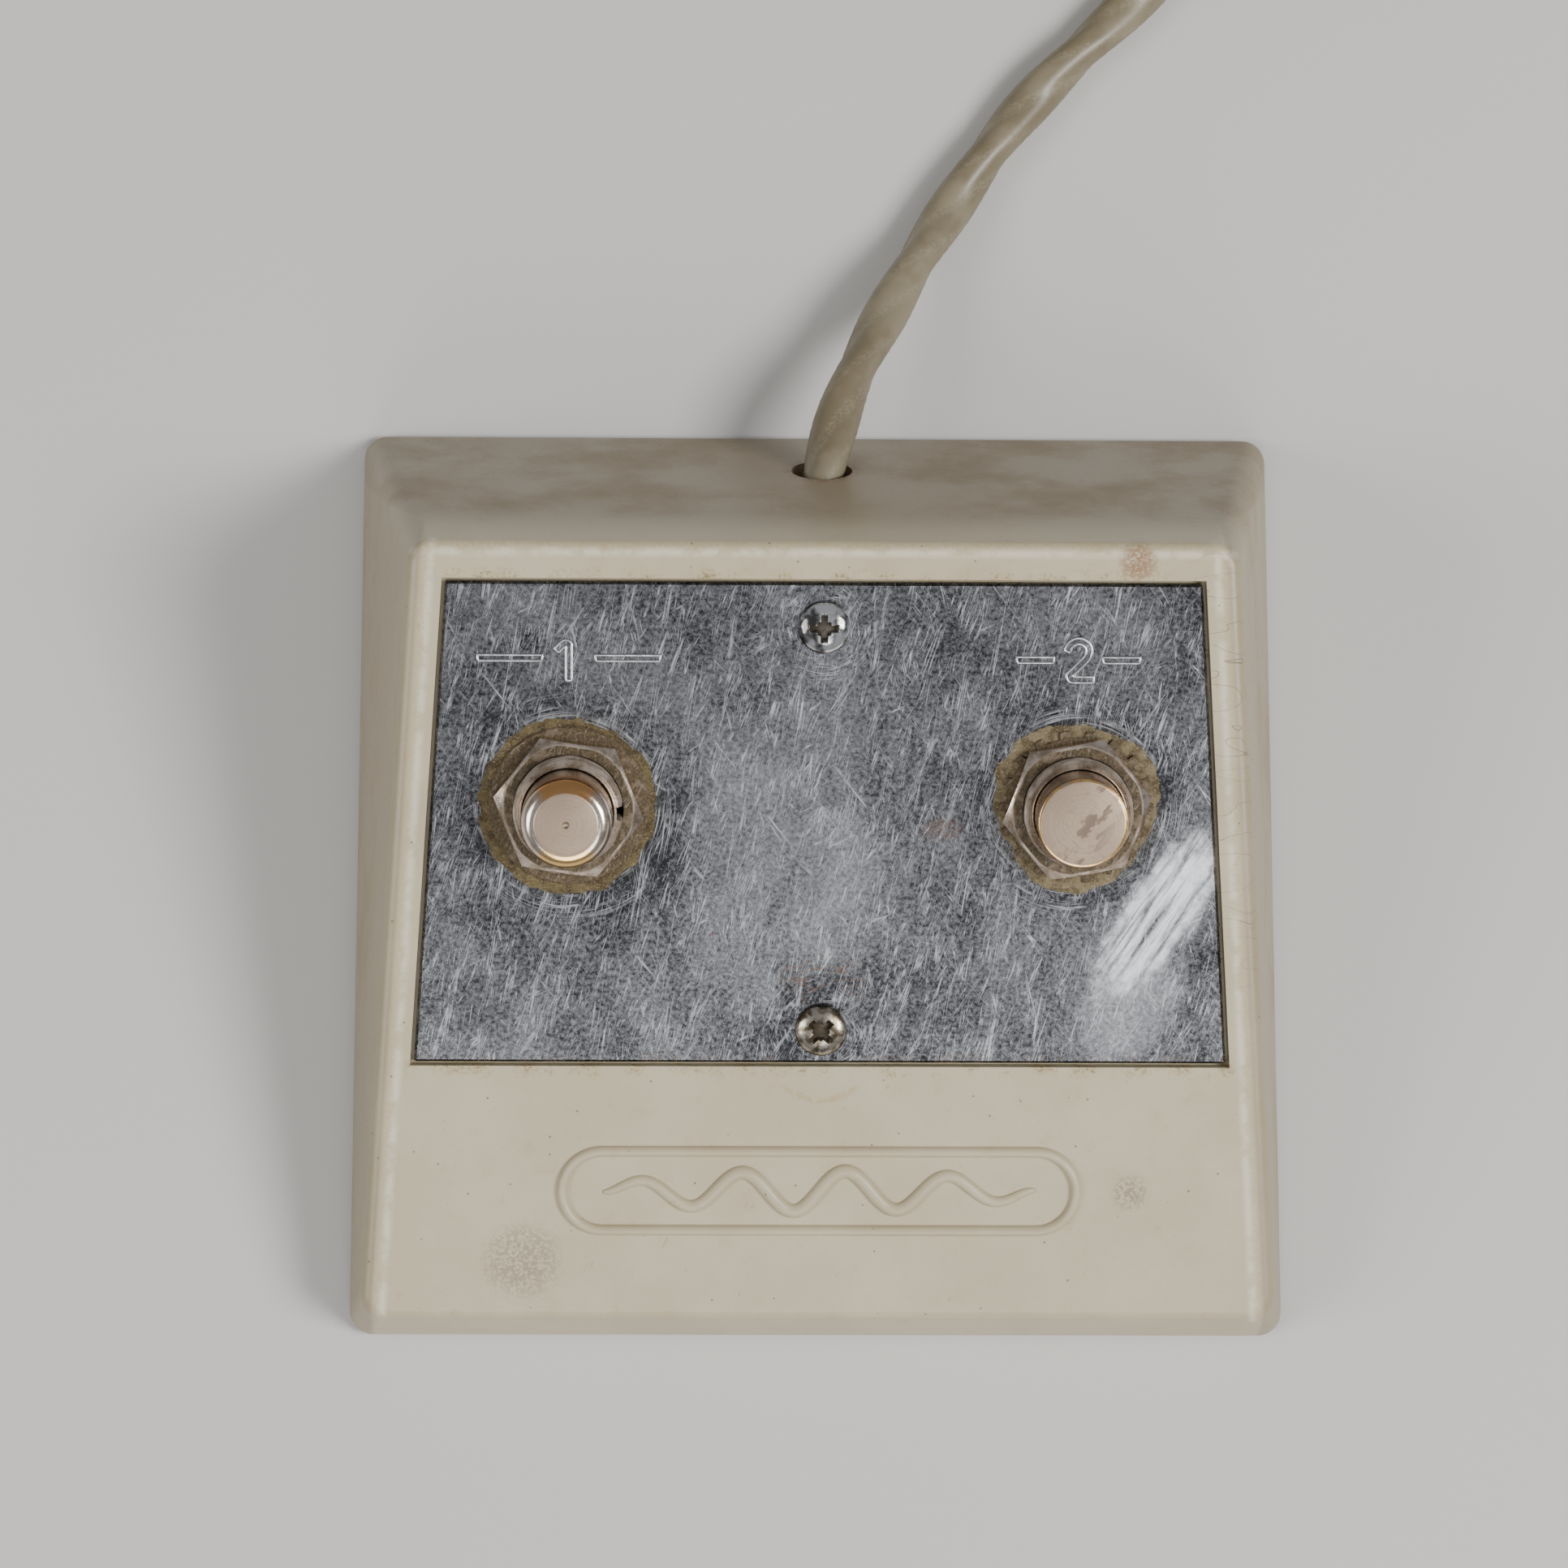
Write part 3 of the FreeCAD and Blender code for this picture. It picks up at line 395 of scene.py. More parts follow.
def surface(name: str, grid: np.ndarray, capped: bool = True, sharp_degrees: float = 35.0,
            uv: np.ndarray | None = None) -> bpy.types.Object:
    """A closed tube-like piece from a grid of rings.

    Args:
        name: The piece's name.
        grid: Rings by points by x, y, z, in metres; each ring closes on itself.
        capped: Whether the end rings get a flat face; otherwise the last ring joins the first.
        sharp_degrees: Edges sharper than this aren't smoothed.
        uv: The same grid's u and v, or None.

    Returns:
        The new object.
    """
    rings, count, _ = grid.shape
    points = grid.reshape(-1, 3)
    quads = grid_faces(rings, count, wrap=True)
    if not capped:
        step = np.arange(count)
        after = (step + 1) % count
        last = (rings - 1) * count
        quads = np.vstack([quads, np.stack([last + step, last + after, after, step], 1)])
    flipped = signed_volume(points - points.mean(0), quads) < 0
    faces = [quad[::-1] if flipped else quad for quad in quads.tolist()]
    if capped:
        first = list(range(count))
        end = list(range((rings - 1) * count, rings * count))
        faces += [first if flipped else first[::-1], end[::-1] if flipped else end]
    mesh = bpy.data.meshes.new(name)
    mesh.from_pydata(points.tolist(), [], faces)
    if uv is not None:
        corners = np.empty(len(mesh.loops), dtype=np.int32)
        mesh.loops.foreach_get("vertex_index", corners)
        layer = mesh.uv_layers.new(name="along")
        layer.data.foreach_set("uv", uv.reshape(-1, 2)[corners].ravel())
    return new_object(name, mesh, sharp_degrees)


def new_object(name: str, mesh: bpy.types.Mesh, sharp_degrees: float) -> bpy.types.Object:
    """Shades a mesh and links it to the scene.

    Args:
        name: The object's name.
        mesh: Its mesh.
        sharp_degrees: Edges sharper than this aren't smoothed.

    Returns:
        The new object.
    """
    mesh.validate()
    mesh.shade_smooth()
    mesh.set_sharp_from_angle(angle=math.radians(sharp_degrees))
    thing = bpy.data.objects.new(name, mesh)
    bpy.context.scene.collection.objects.link(thing)
    return thing


def turned_shape(profile: np.ndarray, count: int,
                 radius_change: Callable[[np.ndarray, np.ndarray], np.ndarray] | None = None,
                 ) -> np.ndarray:
    """Rings of a profile that is turned round Z: x = r cos a, y = r sin a, z = height.

    Args:
        profile: Radius and height of each ring, in millimetres.
        count: Points to a ring.
        radius_change: Adds to the radius, from arrays of height and angle, or None.

    Returns:
        Rings by points by x, y, z, in millimetres.
    """
    angle = unit_circle(count)[None, :]
    radius = np.repeat(profile[:, :1], count, axis=1)
    height = np.repeat(profile[:, 1:], count, axis=1)
    if radius_change is not None:
        radius = radius + radius_change(height, np.broadcast_to(angle, height.shape))
    return np.stack([radius * np.cos(angle), radius * np.sin(angle), height], axis=-1)


def arc_profile(start: tuple[float, float], end: tuple[float, float], count: int,
                bulge_up: bool) -> np.ndarray:
    """A quarter of an ellipse between two points of a profile.

    Args:
        start: Radius and height where it starts.
        end: Where it ends.
        count: Points along it.
        bulge_up: Whether it leaves the start along the height.

    Returns:
        Radius and height of each point.
    """
    t = np.linspace(0.0, np.pi / 2, count)
    across, along = (1 - np.cos(t), np.sin(t)) if bulge_up else (np.sin(t), 1 - np.cos(t))
    return np.stack([start[0] + (end[0] - start[0]) * across,
                     start[1] + (end[1] - start[1]) * along], axis=1)


def path_frames(line: np.ndarray, up: np.ndarray) -> tuple[np.ndarray, np.ndarray, np.ndarray]:
    """Unit vectors along, beside and above a path.

    Args:
        line: Points of the path.
        up: A vector that the path is never parallel to.

    Returns:
        The three arrays of vectors.
    """
    along = np.gradient(line, axis=0)
    along /= np.linalg.norm(along, axis=1, keepdims=True)
    beside = np.cross(up, along)
    beside /= np.linalg.norm(beside, axis=1, keepdims=True)
    return along, beside, np.cross(along, beside)


def ridge(name: str, path: np.ndarray, seat: Seat, half_width: float, height: float,
          closed: bool) -> bpy.types.Object:
    """A low rounded ridge along a flat path.

    The section is half an ellipse over a flat sunk base; on an open path its size falls to
    nothing at both ends, as the fourth root of the distance from them.

    Args:
        name: The piece's name.
        path: Points in millimetres in the seat's frame.
        seat: The frame that the path lies in.
        half_width: Half the ridge's width.
        height: Its height over the path.
        closed: Whether the path closes on itself.

    Returns:
        The new object.
    """
    if closed:
        path = np.vstack([path[-1:], path, path[:1]])
    _, beside, above = path_frames(path, UP)
    if closed:
        path, beside, above = path[1:-1], beside[1:-1], above[1:-1]
    t = np.linspace(0.0, np.pi, 9)
    section = np.stack([half_width * np.cos(t), height * np.sin(t)], axis=1)
    section = np.vstack([section, [[-half_width, -0.5 * height], [half_width, -0.5 * height]]])
    share = np.linspace(0.0, 1.0, len(path))
    taper = np.ones(len(path)) if closed else np.clip(
        (4.0 * share * (1.0 - share)) ** 0.25, 0.12, 1.0)
    side = section[None, :, :1] * taper[:, None, None] * beside[:, None, :]
    lift = section[None, :, 1:] * taper[:, None, None] * above[:, None, :]
    return surface(name, seat.lay(path[:, None, :] + side + lift), capped=not closed,
                   sharp_degrees=60.0)


def value_noise(x: np.ndarray, y: np.ndarray, seed: int) -> np.ndarray:
    """Smooth noise, mostly from -1 to 1: waves of seeded directions and phases, added up.

    Args:
        x: First coordinate.
        y: Second coordinate.
        seed: Which noise.

    Returns:
        Array like x.
    """
    draw = np.random.default_rng(seed)
    total = np.zeros_like(x)
    weights = 0.0
    for octave in (1.0, 1.9, 3.7, 7.1):
        for _ in range(3):
            heading, phase = draw.uniform(0.0, 2.0 * np.pi, 2)
            wave = np.sin(octave * (x * np.cos(heading) + y * np.sin(heading)) + phase)
            total += wave / octave
            weights += 1.0 / octave
    return total / weights * 2.0


# ---------------------------------------------------------------- finishes

class Side(Enum):
    """Which of the two switches."""

    LEFT = "left"
    RIGHT = "right"


@dataclass(frozen=True)
class PlainFinish:
    """A finish of one colour with mottling, fine grain and a little wear."""

    name: str
    colour: Colour
    dark: Colour
    metallic: float = 0.0
    roughness: float = 0.5
    scale: float = 300.0
    grain: float = 4000.0
    depth: float = 0.00002

    def build(self) -> bpy.types.Material:
        """Mottled colour, uneven gloss and a fine bump.

        Returns:
            The material.
        """
        tree = Tree(self.name)
        place = tree.place()
        cloud = tree.noise(place, self.scale, 4.0, 0.6)
        grain = tree.noise(place, self.grain, 2.0, 0.5)
        share = cloud.rise(0.38, 0.66)
        return tree.finish(
            Base_Color=tree.mix(share, self.dark, self.colour),
            Metallic=self.metallic,
            Roughness=(self.roughness + 0.25 * (0.5 - cloud) + 0.12 * (grain - 0.5)).least(1.0),
            Normal=tree.bump(cloud * 0.6 + grain * 0.4, self.depth))


@dataclass(frozen=True)
class HousingPlastic:
    """Warm grey moulded plastic: specks, stains, dirty lower corners, worn rims with painted
    highlights, and painted shade on the back and side walls.
    """

    colour: Colour = (0.535, 0.463, 0.315)
    shade: Colour = (0.480, 0.408, 0.266)
    yellow: Colour = (0.44, 0.34, 0.17)
    pale: Colour = (0.74, 0.68, 0.53)
    # Painted shade and a warm brown painted reflection for the back and side walls.
    painted_wall_shade: Colour = (0.170, 0.116, 0.068)
    dirt: Colour = (0.13, 0.085, 0.045)
    rust: Colour = (0.25, 0.10, 0.03)
    front: float = -74.9
    back: float = 28.85
    half_front: float = 50.7
    narrowing: float = 0.0703
    plate_back: float = 24.55
    plate_front: float = -28.85
    cord_hole: Triple = (0.4, 48.0, 14.0)

    def build(self, seat: Seat) -> bpy.types.Material:
        """Colour and gloss from distances to the housing's own edges and the plate's recess.

        Args:
            seat: The plate's frame.

        Returns:
            The material.
        """
        tree = Tree("warm_grey_plastic")
        local = tree.local(seat.origin, seat.turn)
        across, up, out = tree.split(local)
        cloud = tree.noise(local, 0.07, 5.0, 0.62)
        patch = tree.noise(local, 0.33, 4.0, 0.6)
        fine = tree.noise(local, 2.6, 4.0, 0.65)
        grain = tree.noise(local, 9.0, 2.0, 0.5)

        half = self.half_front - self.narrowing * (up - self.front)
        to_side = half - abs(across)
        on_top = out.rise(-2.2, -0.7)
        side_edge = to_side.near(0.5, 1.15) * out.near(-0.2, 2.0)
        back_edge = up.near(self.back - 0.4, 1.2) * out.near(-0.2, 2.0)
        front_edge = up.near(self.front + 0.4, 1.5) * out.near(-0.6, 2.6)
        edge = side_edge.most(back_edge).most(front_edge)
        worn = edge * fine.rise(0.40, 0.60)
        highlight = (to_side.near(0.9, 0.8) * on_top).most(up.near(self.back - 1.0, 0.8) * on_top)
        highlight = highlight * (0.25 + 0.75 * patch.rise(0.38, 0.56))

        recess_side = abs(to_side - 4.0).rise(2.0, 0.0)
        inside = up.rise(self.plate_front - 1.4, self.plate_front - 0.2) * up.rise(
            self.plate_back + 1.6, self.plate_back + 0.4)
        recess_front = up.near(self.plate_front - 0.6, 1.5)
        recess_back = up.near(self.plate_back + 0.6, 1.3)
        recess = ((recess_side * inside).most(recess_front).most(recess_back)
                  * to_side.rise(1.2, 2.4) * on_top)
        stain = recess * patch.rise(0.42, 0.62) * fine.rise(0.3, 0.62)

        arc_far = distance(across, up + 27.5)
        arc = arc_far.near(5.6, 0.6) * up.rise(-31.0, -32.0) * fine.rise(0.40, 0.52)
        smudge = (self.spot(across, up, -33.0, -51.5, 5.5) * 0.9).most(
            self.spot(across, up, 44.0, -70.0, 8.0) * 0.7).most(
            self.spot(across, up, 34.5, -43.5, 2.6))
        smudge = smudge * fine.rise(0.40, 0.56) * on_top
        spots = tree.specks(local, 0.42, 0.075).most(
            tree.specks(local, 0.9, 0.07) * patch.rise(0.48, 0.56))
        pale_specks = tree.specks(tree.turned(local, 40.0, (1.0, 1.0, 1.0)), 0.6, 0.05)
        rust = self.spot(across, up, 34.0, 26.9, 2.6) * fine.rise(0.34, 0.52)
        hole_x, hole_y, hole_z = tree.split(tree.local(Vector(self.cord_hole) * MM, Euler()))
        from_hole = distance(hole_x, hole_z)
        rust = rust.most(from_hole.near(3.7, 1.3) * hole_y.rise(-12.0, -8.0)
                         * fine.rise(0.40, 0.56))
        low = out.rise(-6.0, -16.0)
        grime = low * cloud.rise(0.42, 0.70)
        scuff = tree.lines(tree.turned(local, 24.0, (1.0, 0.08, 1.0)), 1.1, 0.006)
        scuff = scuff * patch.rise(0.52, 0.66)
        crack = tree.lines(tree.turned(local, 90.0, (1.0, 0.25, 1.0)), 0.35, 0.003)
        crack = crack * across.rise(38.0, 42.0) * up.rise(-24.0, -12.0)

        colour = tree.mix(cloud.rise(0.34, 0.68), self.shade, self.colour)
        colour = tree.mix(patch.rise(0.55, 0.75) * 0.35, colour, self.yellow)
        colour = tree.mix(pale_specks * 0.5, colour, self.pale)
        colour = tree.mix(worn * 0.62, colour, self.yellow)
        colour = tree.mix(highlight * 0.75, colour, self.pale)
        colour = tree.mix((stain * 0.85).most(arc), colour, self.yellow)
        colour = tree.mix(stain * fine.rise(0.5, 0.66) * 0.7, colour, self.dirt)
        colour = tree.mix(rust * 0.8, colour, self.rust)
        colour = tree.mix((smudge * 0.55).most(spots * 0.75).most(scuff * 0.3), colour, self.dirt)
        # Painted shade with a warm brown painted reflection: the back wall and the side walls are
        # darkened towards a brown.
        back_wall_shade = up.rise(self.back + 0.2, self.back + 2.0) * out.rise(-0.6, -2.0)
        beside = to_side.rise(0.2, -0.6)
        colour = tree.mix((back_wall_shade * 0.62).most(beside * 0.48), colour, self.painted_wall_shade)
        colour = tree.mix((grime * 0.12).most(crack * 0.6), colour, self.dirt)
        height = fine * 0.3 + grain * 0.3 + spots * 0.4 - crack
        return tree.finish(
            Base_Color=colour,
            Roughness=(0.36 + 0.22 * (cloud - 0.5) + 0.2 * (fine - 0.5) + 0.25 * stain
                       + 0.2 * grime).least(0.9),
            Normal=tree.bump(height, 0.00006, 0.7))

    @staticmethod
    def spot(across: Field, up: Field, x: float, y: float, radius: float) -> Field:
        """A round soft mark on the slope, 1 in its middle."""
        dx, dy = across - x, up - y
        far = (dx * dx + dy * dy) / (radius * radius)
        return far.rise(1.0, 0.0)


@dataclass(frozen=True)
class ScratchedChrome:
    """Chromed sheet worn dull: mottling, six runs of scratches, scuffs round its holes."""

    bright: Colour = (0.315, 0.320, 0.335)
    dull: Colour = (0.022, 0.022, 0.025)
    # Pale colour of the scratches, and also of the painted glare, a painted reflection.
    scratch_and_glare: Colour = (0.88, 0.89, 0.93)
    rust: Colour = (0.16, 0.065, 0.025)
    dust: Colour = (0.135, 0.105, 0.055)
    half_width: float = 43.0
    front: float = -29.0
    spread: float = 27.7

    def build(self, seat: Seat) -> bpy.types.Material:
        """Everything is placed in the plate's own frame, in millimetres.

        Args:
            seat: The plate's frame.

        Returns:
            The material.
        """
        tree = Tree("scratched_chrome")
        local = tree.local(seat.origin, seat.turn)
        across, up, _ = tree.split(local)
        cloud = tree.noise(local, 0.075, 3.0, 0.55, 0.6)
        patch = tree.noise(tree.turned(local, 18.0, (1.0, 0.45, 1.0)), 0.38, 4.0, 0.65)
        mottle = tree.noise(local, 2.0, 6.0, 0.78)
        fine = tree.noise(local, 4.5, 3.0, 0.7)

        runs = None
        for degrees, scale, width, gate in (
                (9.0, 2.0, 0.026, 0.46), (19.0, 2.9, 0.034, 0.47), (33.0, 1.6, 0.017, 0.49),
                (-38.0, 1.1, 0.009, 0.50), (-13.0, 2.2, 0.018, 0.51), (64.0, 0.9, 0.007, 0.52)):
            run = tree.lines(tree.turned(local, degrees, (1.0, 0.035, 1.0)), scale, width, 0.12)
            where = tree.noise(tree.turned(local, degrees, (1.0, 0.35, 1.0)),
                               0.30 + 0.11 * scale, 4.0, 0.65)
            run = run * where.rise(gate, gate + 0.14)
            runs = run if runs is None else runs.most(run)

        scuffs = None
        for x, y, inner, outer in ((0.0, SCREW_BACK, 3.0, 7.0),
                                   (0.0, SCREW_FRONT, 3.0, 7.5),
                                   (-self.spread, 0.0, 9.5, 14.0),
                                   (self.spread, 0.0, 9.5, 13.0)):
            dx, dy = across - x, up - y
            far = distance(dx, dy)
            bearing = dx.math("ARCTAN2", dy, dx)
            rings = tree.lines(tree.joined(far * 2.6, bearing * 0.8, 0.0), 1.0, 0.05)
            ring = rings * far.rise(outer, inner + 1.6) * far.rise(inner - 0.5, inner)
            ring = ring * tree.noise(tree.joined(bearing * 2.0, far * 0.3, 3.0), 1.0).rise(0.42, 0.6)
            scuffs = ring if scuffs is None else scuffs.most(ring)

        # The glare patches are painted reflections of the lamps.
        glare = self.patch(tree, local, 37.0, -12.0, 33.0, 4.6, 12.5)
        glare_low = self.patch(tree, local, 34.0, -22.0, 38.0, 6.0, 9.0) * 0.35
        middle = self.patch(tree, local, -4.0, -6.0, 12.0, 13.0, 26.0) * 0.16
        halo = self.ring(across, up, -self.spread, 15.5).most(
            self.ring(across, up, self.spread, 14.0)).most(
            self.ring(across, up, 0.0, 8.5, SCREW_FRONT) * 0.6)
        edge = (self.half_width - abs(across)).rise(1.2, 0.3).most(up.near(self.front, 0.8))
        rust = tree.specks(local, 0.30, 0.10) * patch.rise(0.56, 0.64)
        rust = rust.most(self.patch(tree, local, 13.0, -2.6, 0.0, 3.0, 1.6)
                         * fine.rise(0.50, 0.60))
        rust = rust.most(up.near(self.front + 0.5, 1.2) * fine.rise(0.52, 0.62)
                         * patch.rise(0.48, 0.58))
        rust = rust.most(self.patch(tree, local, 0.5, -19.5, 0.0, 6.0, 3.4)
                         * tree.lines(tree.turned(local, 80.0, (1.0, 0.2, 1.0)), 1.0, 0.04)
                         * 0.6)

        # The level is lifted by a painted reflection low on the right.
        level = (0.27 + 0.75 * (cloud - 0.5) + 0.45 * (patch - 0.5) + 2.3 * (mottle - 0.5)
                 + middle + glare_low - 0.24 * halo)
        level = level.most(0.0).least(1.0)
        marks = (runs * (0.12 + 0.52 * patch)).most(scuffs * 0.36)
        streaks = tree.noise(tree.turned(local, 33.0, (1.3, 0.09, 1.0)), 0.9, 4.0, 0.7)
        dusty = self.ring(across, up, -self.spread, 10.9).most(
            self.ring(across, up, self.spread, 10.4)) * fine.rise(0.44, 0.58)
        colour = tree.mix(level, self.dull, self.bright)
        colour = tree.mix(marks, colour, self.scratch_and_glare)
        # Painted reflection: streaked glare in the scratches' pale colour.
        colour = tree.mix(glare * streaks.rise(0.32, 0.58) * 0.92, colour, self.scratch_and_glare)
        colour = tree.mix(rust * 0.85, colour, self.rust)
        colour = tree.mix(dusty * 0.8, colour, self.dust)
        height = mottle * 0.25 - marks * 0.6 + fine * 0.15
        rough = 0.25 + 0.34 * (1.0 - level) * fine.rise(0.3, 0.7) + 0.16 * marks + 0.25 * rust
        return tree.finish(
            Base_Color=colour,
            Metallic=1.0 - 0.8 * rust.most(dusty),
            Roughness=(rough + 0.15 * glare - 0.1 * edge).most(0.1).least(0.85),
            Normal=tree.bump(height, 0.00003, 0.55))

    @staticmethod
    def patch(tree: Tree, local: Field, x: float, y: float, lean: float, half_width: float,
              half_length: float) -> Field:
        """A soft-edged oval patch, 1 in its middle.

        Args:
            tree: The material.
            local: Coordinates in the plate's frame.
            x: Its middle, across.
            y: Its middle, up the slope.
            lean: Degrees that its long way leans to the right.
            half_width: Half its short way.
            half_length: Half its long way.

        Returns:
            The mask.
        """
        inner = tree.node("ShaderNodeMapping", {"vector_type": "TEXTURE"}, {
            0: local, 1: (x, y, 0.0), 2: (0.0, 0.0, math.radians(-lean)),
            3: (half_width, half_length, 1.0)})
        u, v, _ = tree.split(inner)
        wobble = tree.noise(local, 0.55, 4.0, 0.7)
        return (u * u + v * v + 1.3 * (wobble - 0.5)).rise(1.0, 0.15)

    @staticmethod
    def ring(across: Field, up: Field, x: float, radius: float, y: float = 0.0) -> Field:
        """A round mask about a point of the plate, 1 in its middle and 0 from a radius on."""
        dx, dy = across - x, up - y
        far = dx * dx + dy * dy
        return far.rise(radius * radius, 0.25 * radius * radius)


@dataclass(frozen=True)
class TarnishedNickel:
    """Nickel plate with tan grime that lies thickest away from the handled edges."""

    name: str
    clean_from: float
    clean_to: float
    amount: float = 1.0
    hexagon_turn: float | None = None
    flat_distance: float = 7.145
    plate: Colour = (0.78, 0.66, 0.56)
    shade: Colour = (0.40, 0.31, 0.23)
    grime: Colour = (0.050, 0.032, 0.012)
    crust: Colour = (0.120, 0.082, 0.034)

    def build(self, seat: Seat) -> bpy.types.Material:
        """Grime fades out between two distances from the switch's axis.

        Args:
            seat: The switch's frame.

        Returns:
            The material.
        """
        tree = Tree(self.name)
        local = tree.local(seat.origin, seat.turn)
        across, up, _ = tree.split(local)
        far = distance(across, up)
        cloud = tree.noise(local, 0.55, 4.0, 0.65)
        fine = tree.noise(local, 3.2, 5.0, 0.7)
        cover = far.rise(self.clean_to, self.clean_from) * self.amount
        cover = cover * (0.62 + cloud.rise(0.34, 0.52) * 0.38) + 0.35 * fine.rise(0.62, 0.75)
        cover = cover.least(1.0)
        if self.hexagon_turn is not None:
            cover = cover * (1.0 - 0.75 * self.edge(across, up) * cloud.rise(0.32, 0.46))
        scrape = tree.lines(tree.turned(local, 25.0, (1.0, 0.2, 1.0)), 1.6, 0.02)
        metal = tree.mix(cloud.rise(0.35, 0.65), self.shade, self.plate)
        dirt = tree.mix(fine.rise(0.4, 0.62), self.grime, self.crust)
        return tree.finish(
            Base_Color=tree.mix(cover * (1.0 - 0.25 * scrape), metal, dirt),
            Metallic=(1.0 - 0.9 * cover).most(0.0),
            Roughness=(0.12 + 0.22 * (fine - 0.3) + 0.45 * cover).least(0.95),
            Normal=tree.bump(fine * (0.25 + 0.75 * cover), 0.00005, 0.6))

    def edge(self, across: Field, up: Field) -> Field:
        """1 along the hexagon's edge: the largest distance to its three pairs of flats."""
        reach = None
        for flat in range(3):
            angle = math.radians(self.hexagon_turn + 30.0 + 60.0 * flat)
            span = abs(across * math.cos(angle) + up * math.sin(angle))
            reach = span if reach is None else reach.most(span)
        return reach.rise(self.flat_distance - 0.45, self.flat_distance - 0.15)


@dataclass(frozen=True)
class ScrewMetal:
    """A screw head's plating, with painted light and dark reflections on the bright screw and painted
    shade with dirt in its recess.
    """

    name: str
    # The dome's light and dark tones; on the bright screw they are painted reflections.
    bright: Colour
    dark: Colour
    roughness: float
    scale: float
    # Recess colour: painted shade with dirt; also dirt round the rim.
    dirt: Colour = (0.045, 0.030, 0.014)
    recess_low: float = 1.35

    def build(self, seat: Seat) -> bpy.types.Material:
        """Soft light and dark fields over the dome, painted reflections on the bright screw; painted
        shade and dirt where the head is sunk.

        Args:
            seat: The screw's frame.

        Returns:
            The material.
        """
        tree = Tree(self.name)
        local = tree.local(seat.origin, seat.turn)
        across, up, out = tree.split(local)
        far = distance(across, up)
        cloud = tree.noise(local, self.scale, 2.0, 0.5)
        fine = tree.noise(local, 4.0, 4.0, 0.7)
        sunk = out.rise(self.recess_low - 0.05, self.recess_low - 0.35) * far.rise(2.05, 1.7)
        rim = far.rise(2.45, 2.8)
        # Light and dark fields over the dome: painted reflections on the bright screw.
        colour = tree.mix(cloud.rise(0.40, 0.60), self.dark, self.bright)
        # Painted shade with dirt in the sunk cross recess, and dirt round the rim.
        colour = tree.mix((sunk * 0.92).most(rim * fine.rise(0.45, 0.6) * 0.7), colour, self.dirt)
        return tree.finish(
            Base_Color=colour, Metallic=1.0 - 0.7 * sunk,
            Roughness=(self.roughness + 0.2 * (fine - 0.4) + 0.4 * sunk).most(0.06),
            Normal=tree.bump(fine, 0.00002, 0.4))


@dataclass(frozen=True)
class PlungerMetal:
    """A push button's nickel, turned on top and worn through to brass round its shoulder."""

    side: Side
    flat_radius: float
    top: float
    nickel: Colour = (0.70, 0.61, 0.52)
    flat: Colour = (0.415, 0.318, 0.238)
    shade: Colour = (0.38, 0.29, 0.21)
    copper: Colour = (0.66, 0.33, 0.11)
    gold: Colour = (0.80, 0.52, 0.20)
    # Dark colour of scuffs and turning marks, and of the painted shade low on the button.
    scuff: Colour = (0.16, 0.11, 0.08)

    def build(self, seat: Seat) -> bpy.types.Material:
        """Turning marks by distance from the axis, worn patches by bearing.

        Args:
            seat: The switch's frame.

        Returns:
            The material.
        """
        tree = Tree(f"{self.side.value}_button_metal")
        local = tree.local(seat.origin, seat.turn)
        across, up, out = tree.split(local)
        far = distance(across, up)
        cloud = tree.noise(local, 0.7, 4.0, 0.6)
        fine = tree.noise(local, 4.0, 5.0, 0.7)
        turning = tree.noise(tree.joined(far * 9.0, 0.0, 0.0), 1.0, 2.0, 0.6)
        on_flat = far.rise(self.flat_radius + 0.15, self.flat_radius - 0.1)
        on_flat = on_flat * out.rise(self.top - 0.5, self.top - 0.2)
        shoulder = (1.0 - on_flat) * out.rise(self.top - 3.6, self.top - 2.4)
        if self.side is Side.LEFT:
            bearing = (abs(up) / far).rise(0.62, 0.86)
            worn = shoulder * bearing * cloud.rise(0.30, 0.44)
            metal = tree.mix(up.rise(-1.0, 1.0), self.gold, self.copper)
            marks = tree.lines(tree.turned(local, 50.0, (1.0, 0.3, 1.0)), 1.5, 0.012) * 0.4
        else:
            worn = shoulder * out.rise(self.top - 0.9, self.top - 0.3) * cloud.rise(0.36, 0.5)
            metal = tree.mix(cloud.rise(0.4, 0.6), self.copper, self.gold)
            band = (across - 0.55 * up).near(1.0, 3.6)
            blots = tree.noise(tree.turned(local, 42.0, (1.0, 0.42, 1.0)), 0.85, 4.0, 0.6)
            marks = (band * blots.rise(0.50, 0.58)).most(
                tree.lines(tree.turned(local, -40.0, (1.0, 0.2, 1.0)), 1.6, 0.02) * 0.4)
        marks = marks * on_flat
        colour = tree.mix(cloud.rise(0.35, 0.65) * 0.6 + 0.4, self.shade, self.nickel)
        worn_flat = tree.mix(cloud.rise(0.35, 0.65) * 0.4 + 0.6, self.shade, self.flat)
        colour = tree.mix(on_flat, colour, worn_flat)
        colour = tree.mix(worn * 0.9, colour, metal)
        colour = tree.mix(on_flat * turning.rise(0.55, 0.35) * 0.3, colour, self.scuff)
        colour = tree.mix(marks * 0.75, colour, self.scuff)
        # Painted shade low on the button, just above the bushing where it goes in.
        colour = tree.mix(out.rise(self.top - 4.6, self.top - 6.2) * 0.6, colour, self.scuff)
        height = turning * on_flat * 0.8 + fine * 0.2 - marks * 0.3
        return tree.finish(
            Base_Color=colour,
            Metallic=1.0 - 0.6 * marks,
            Roughness=(0.16 + 0.30 * on_flat + 0.25 * (fine - 0.4) + 0.2 * marks).most(0.08),
            Normal=tree.bump(height, 0.00004, 0.6))


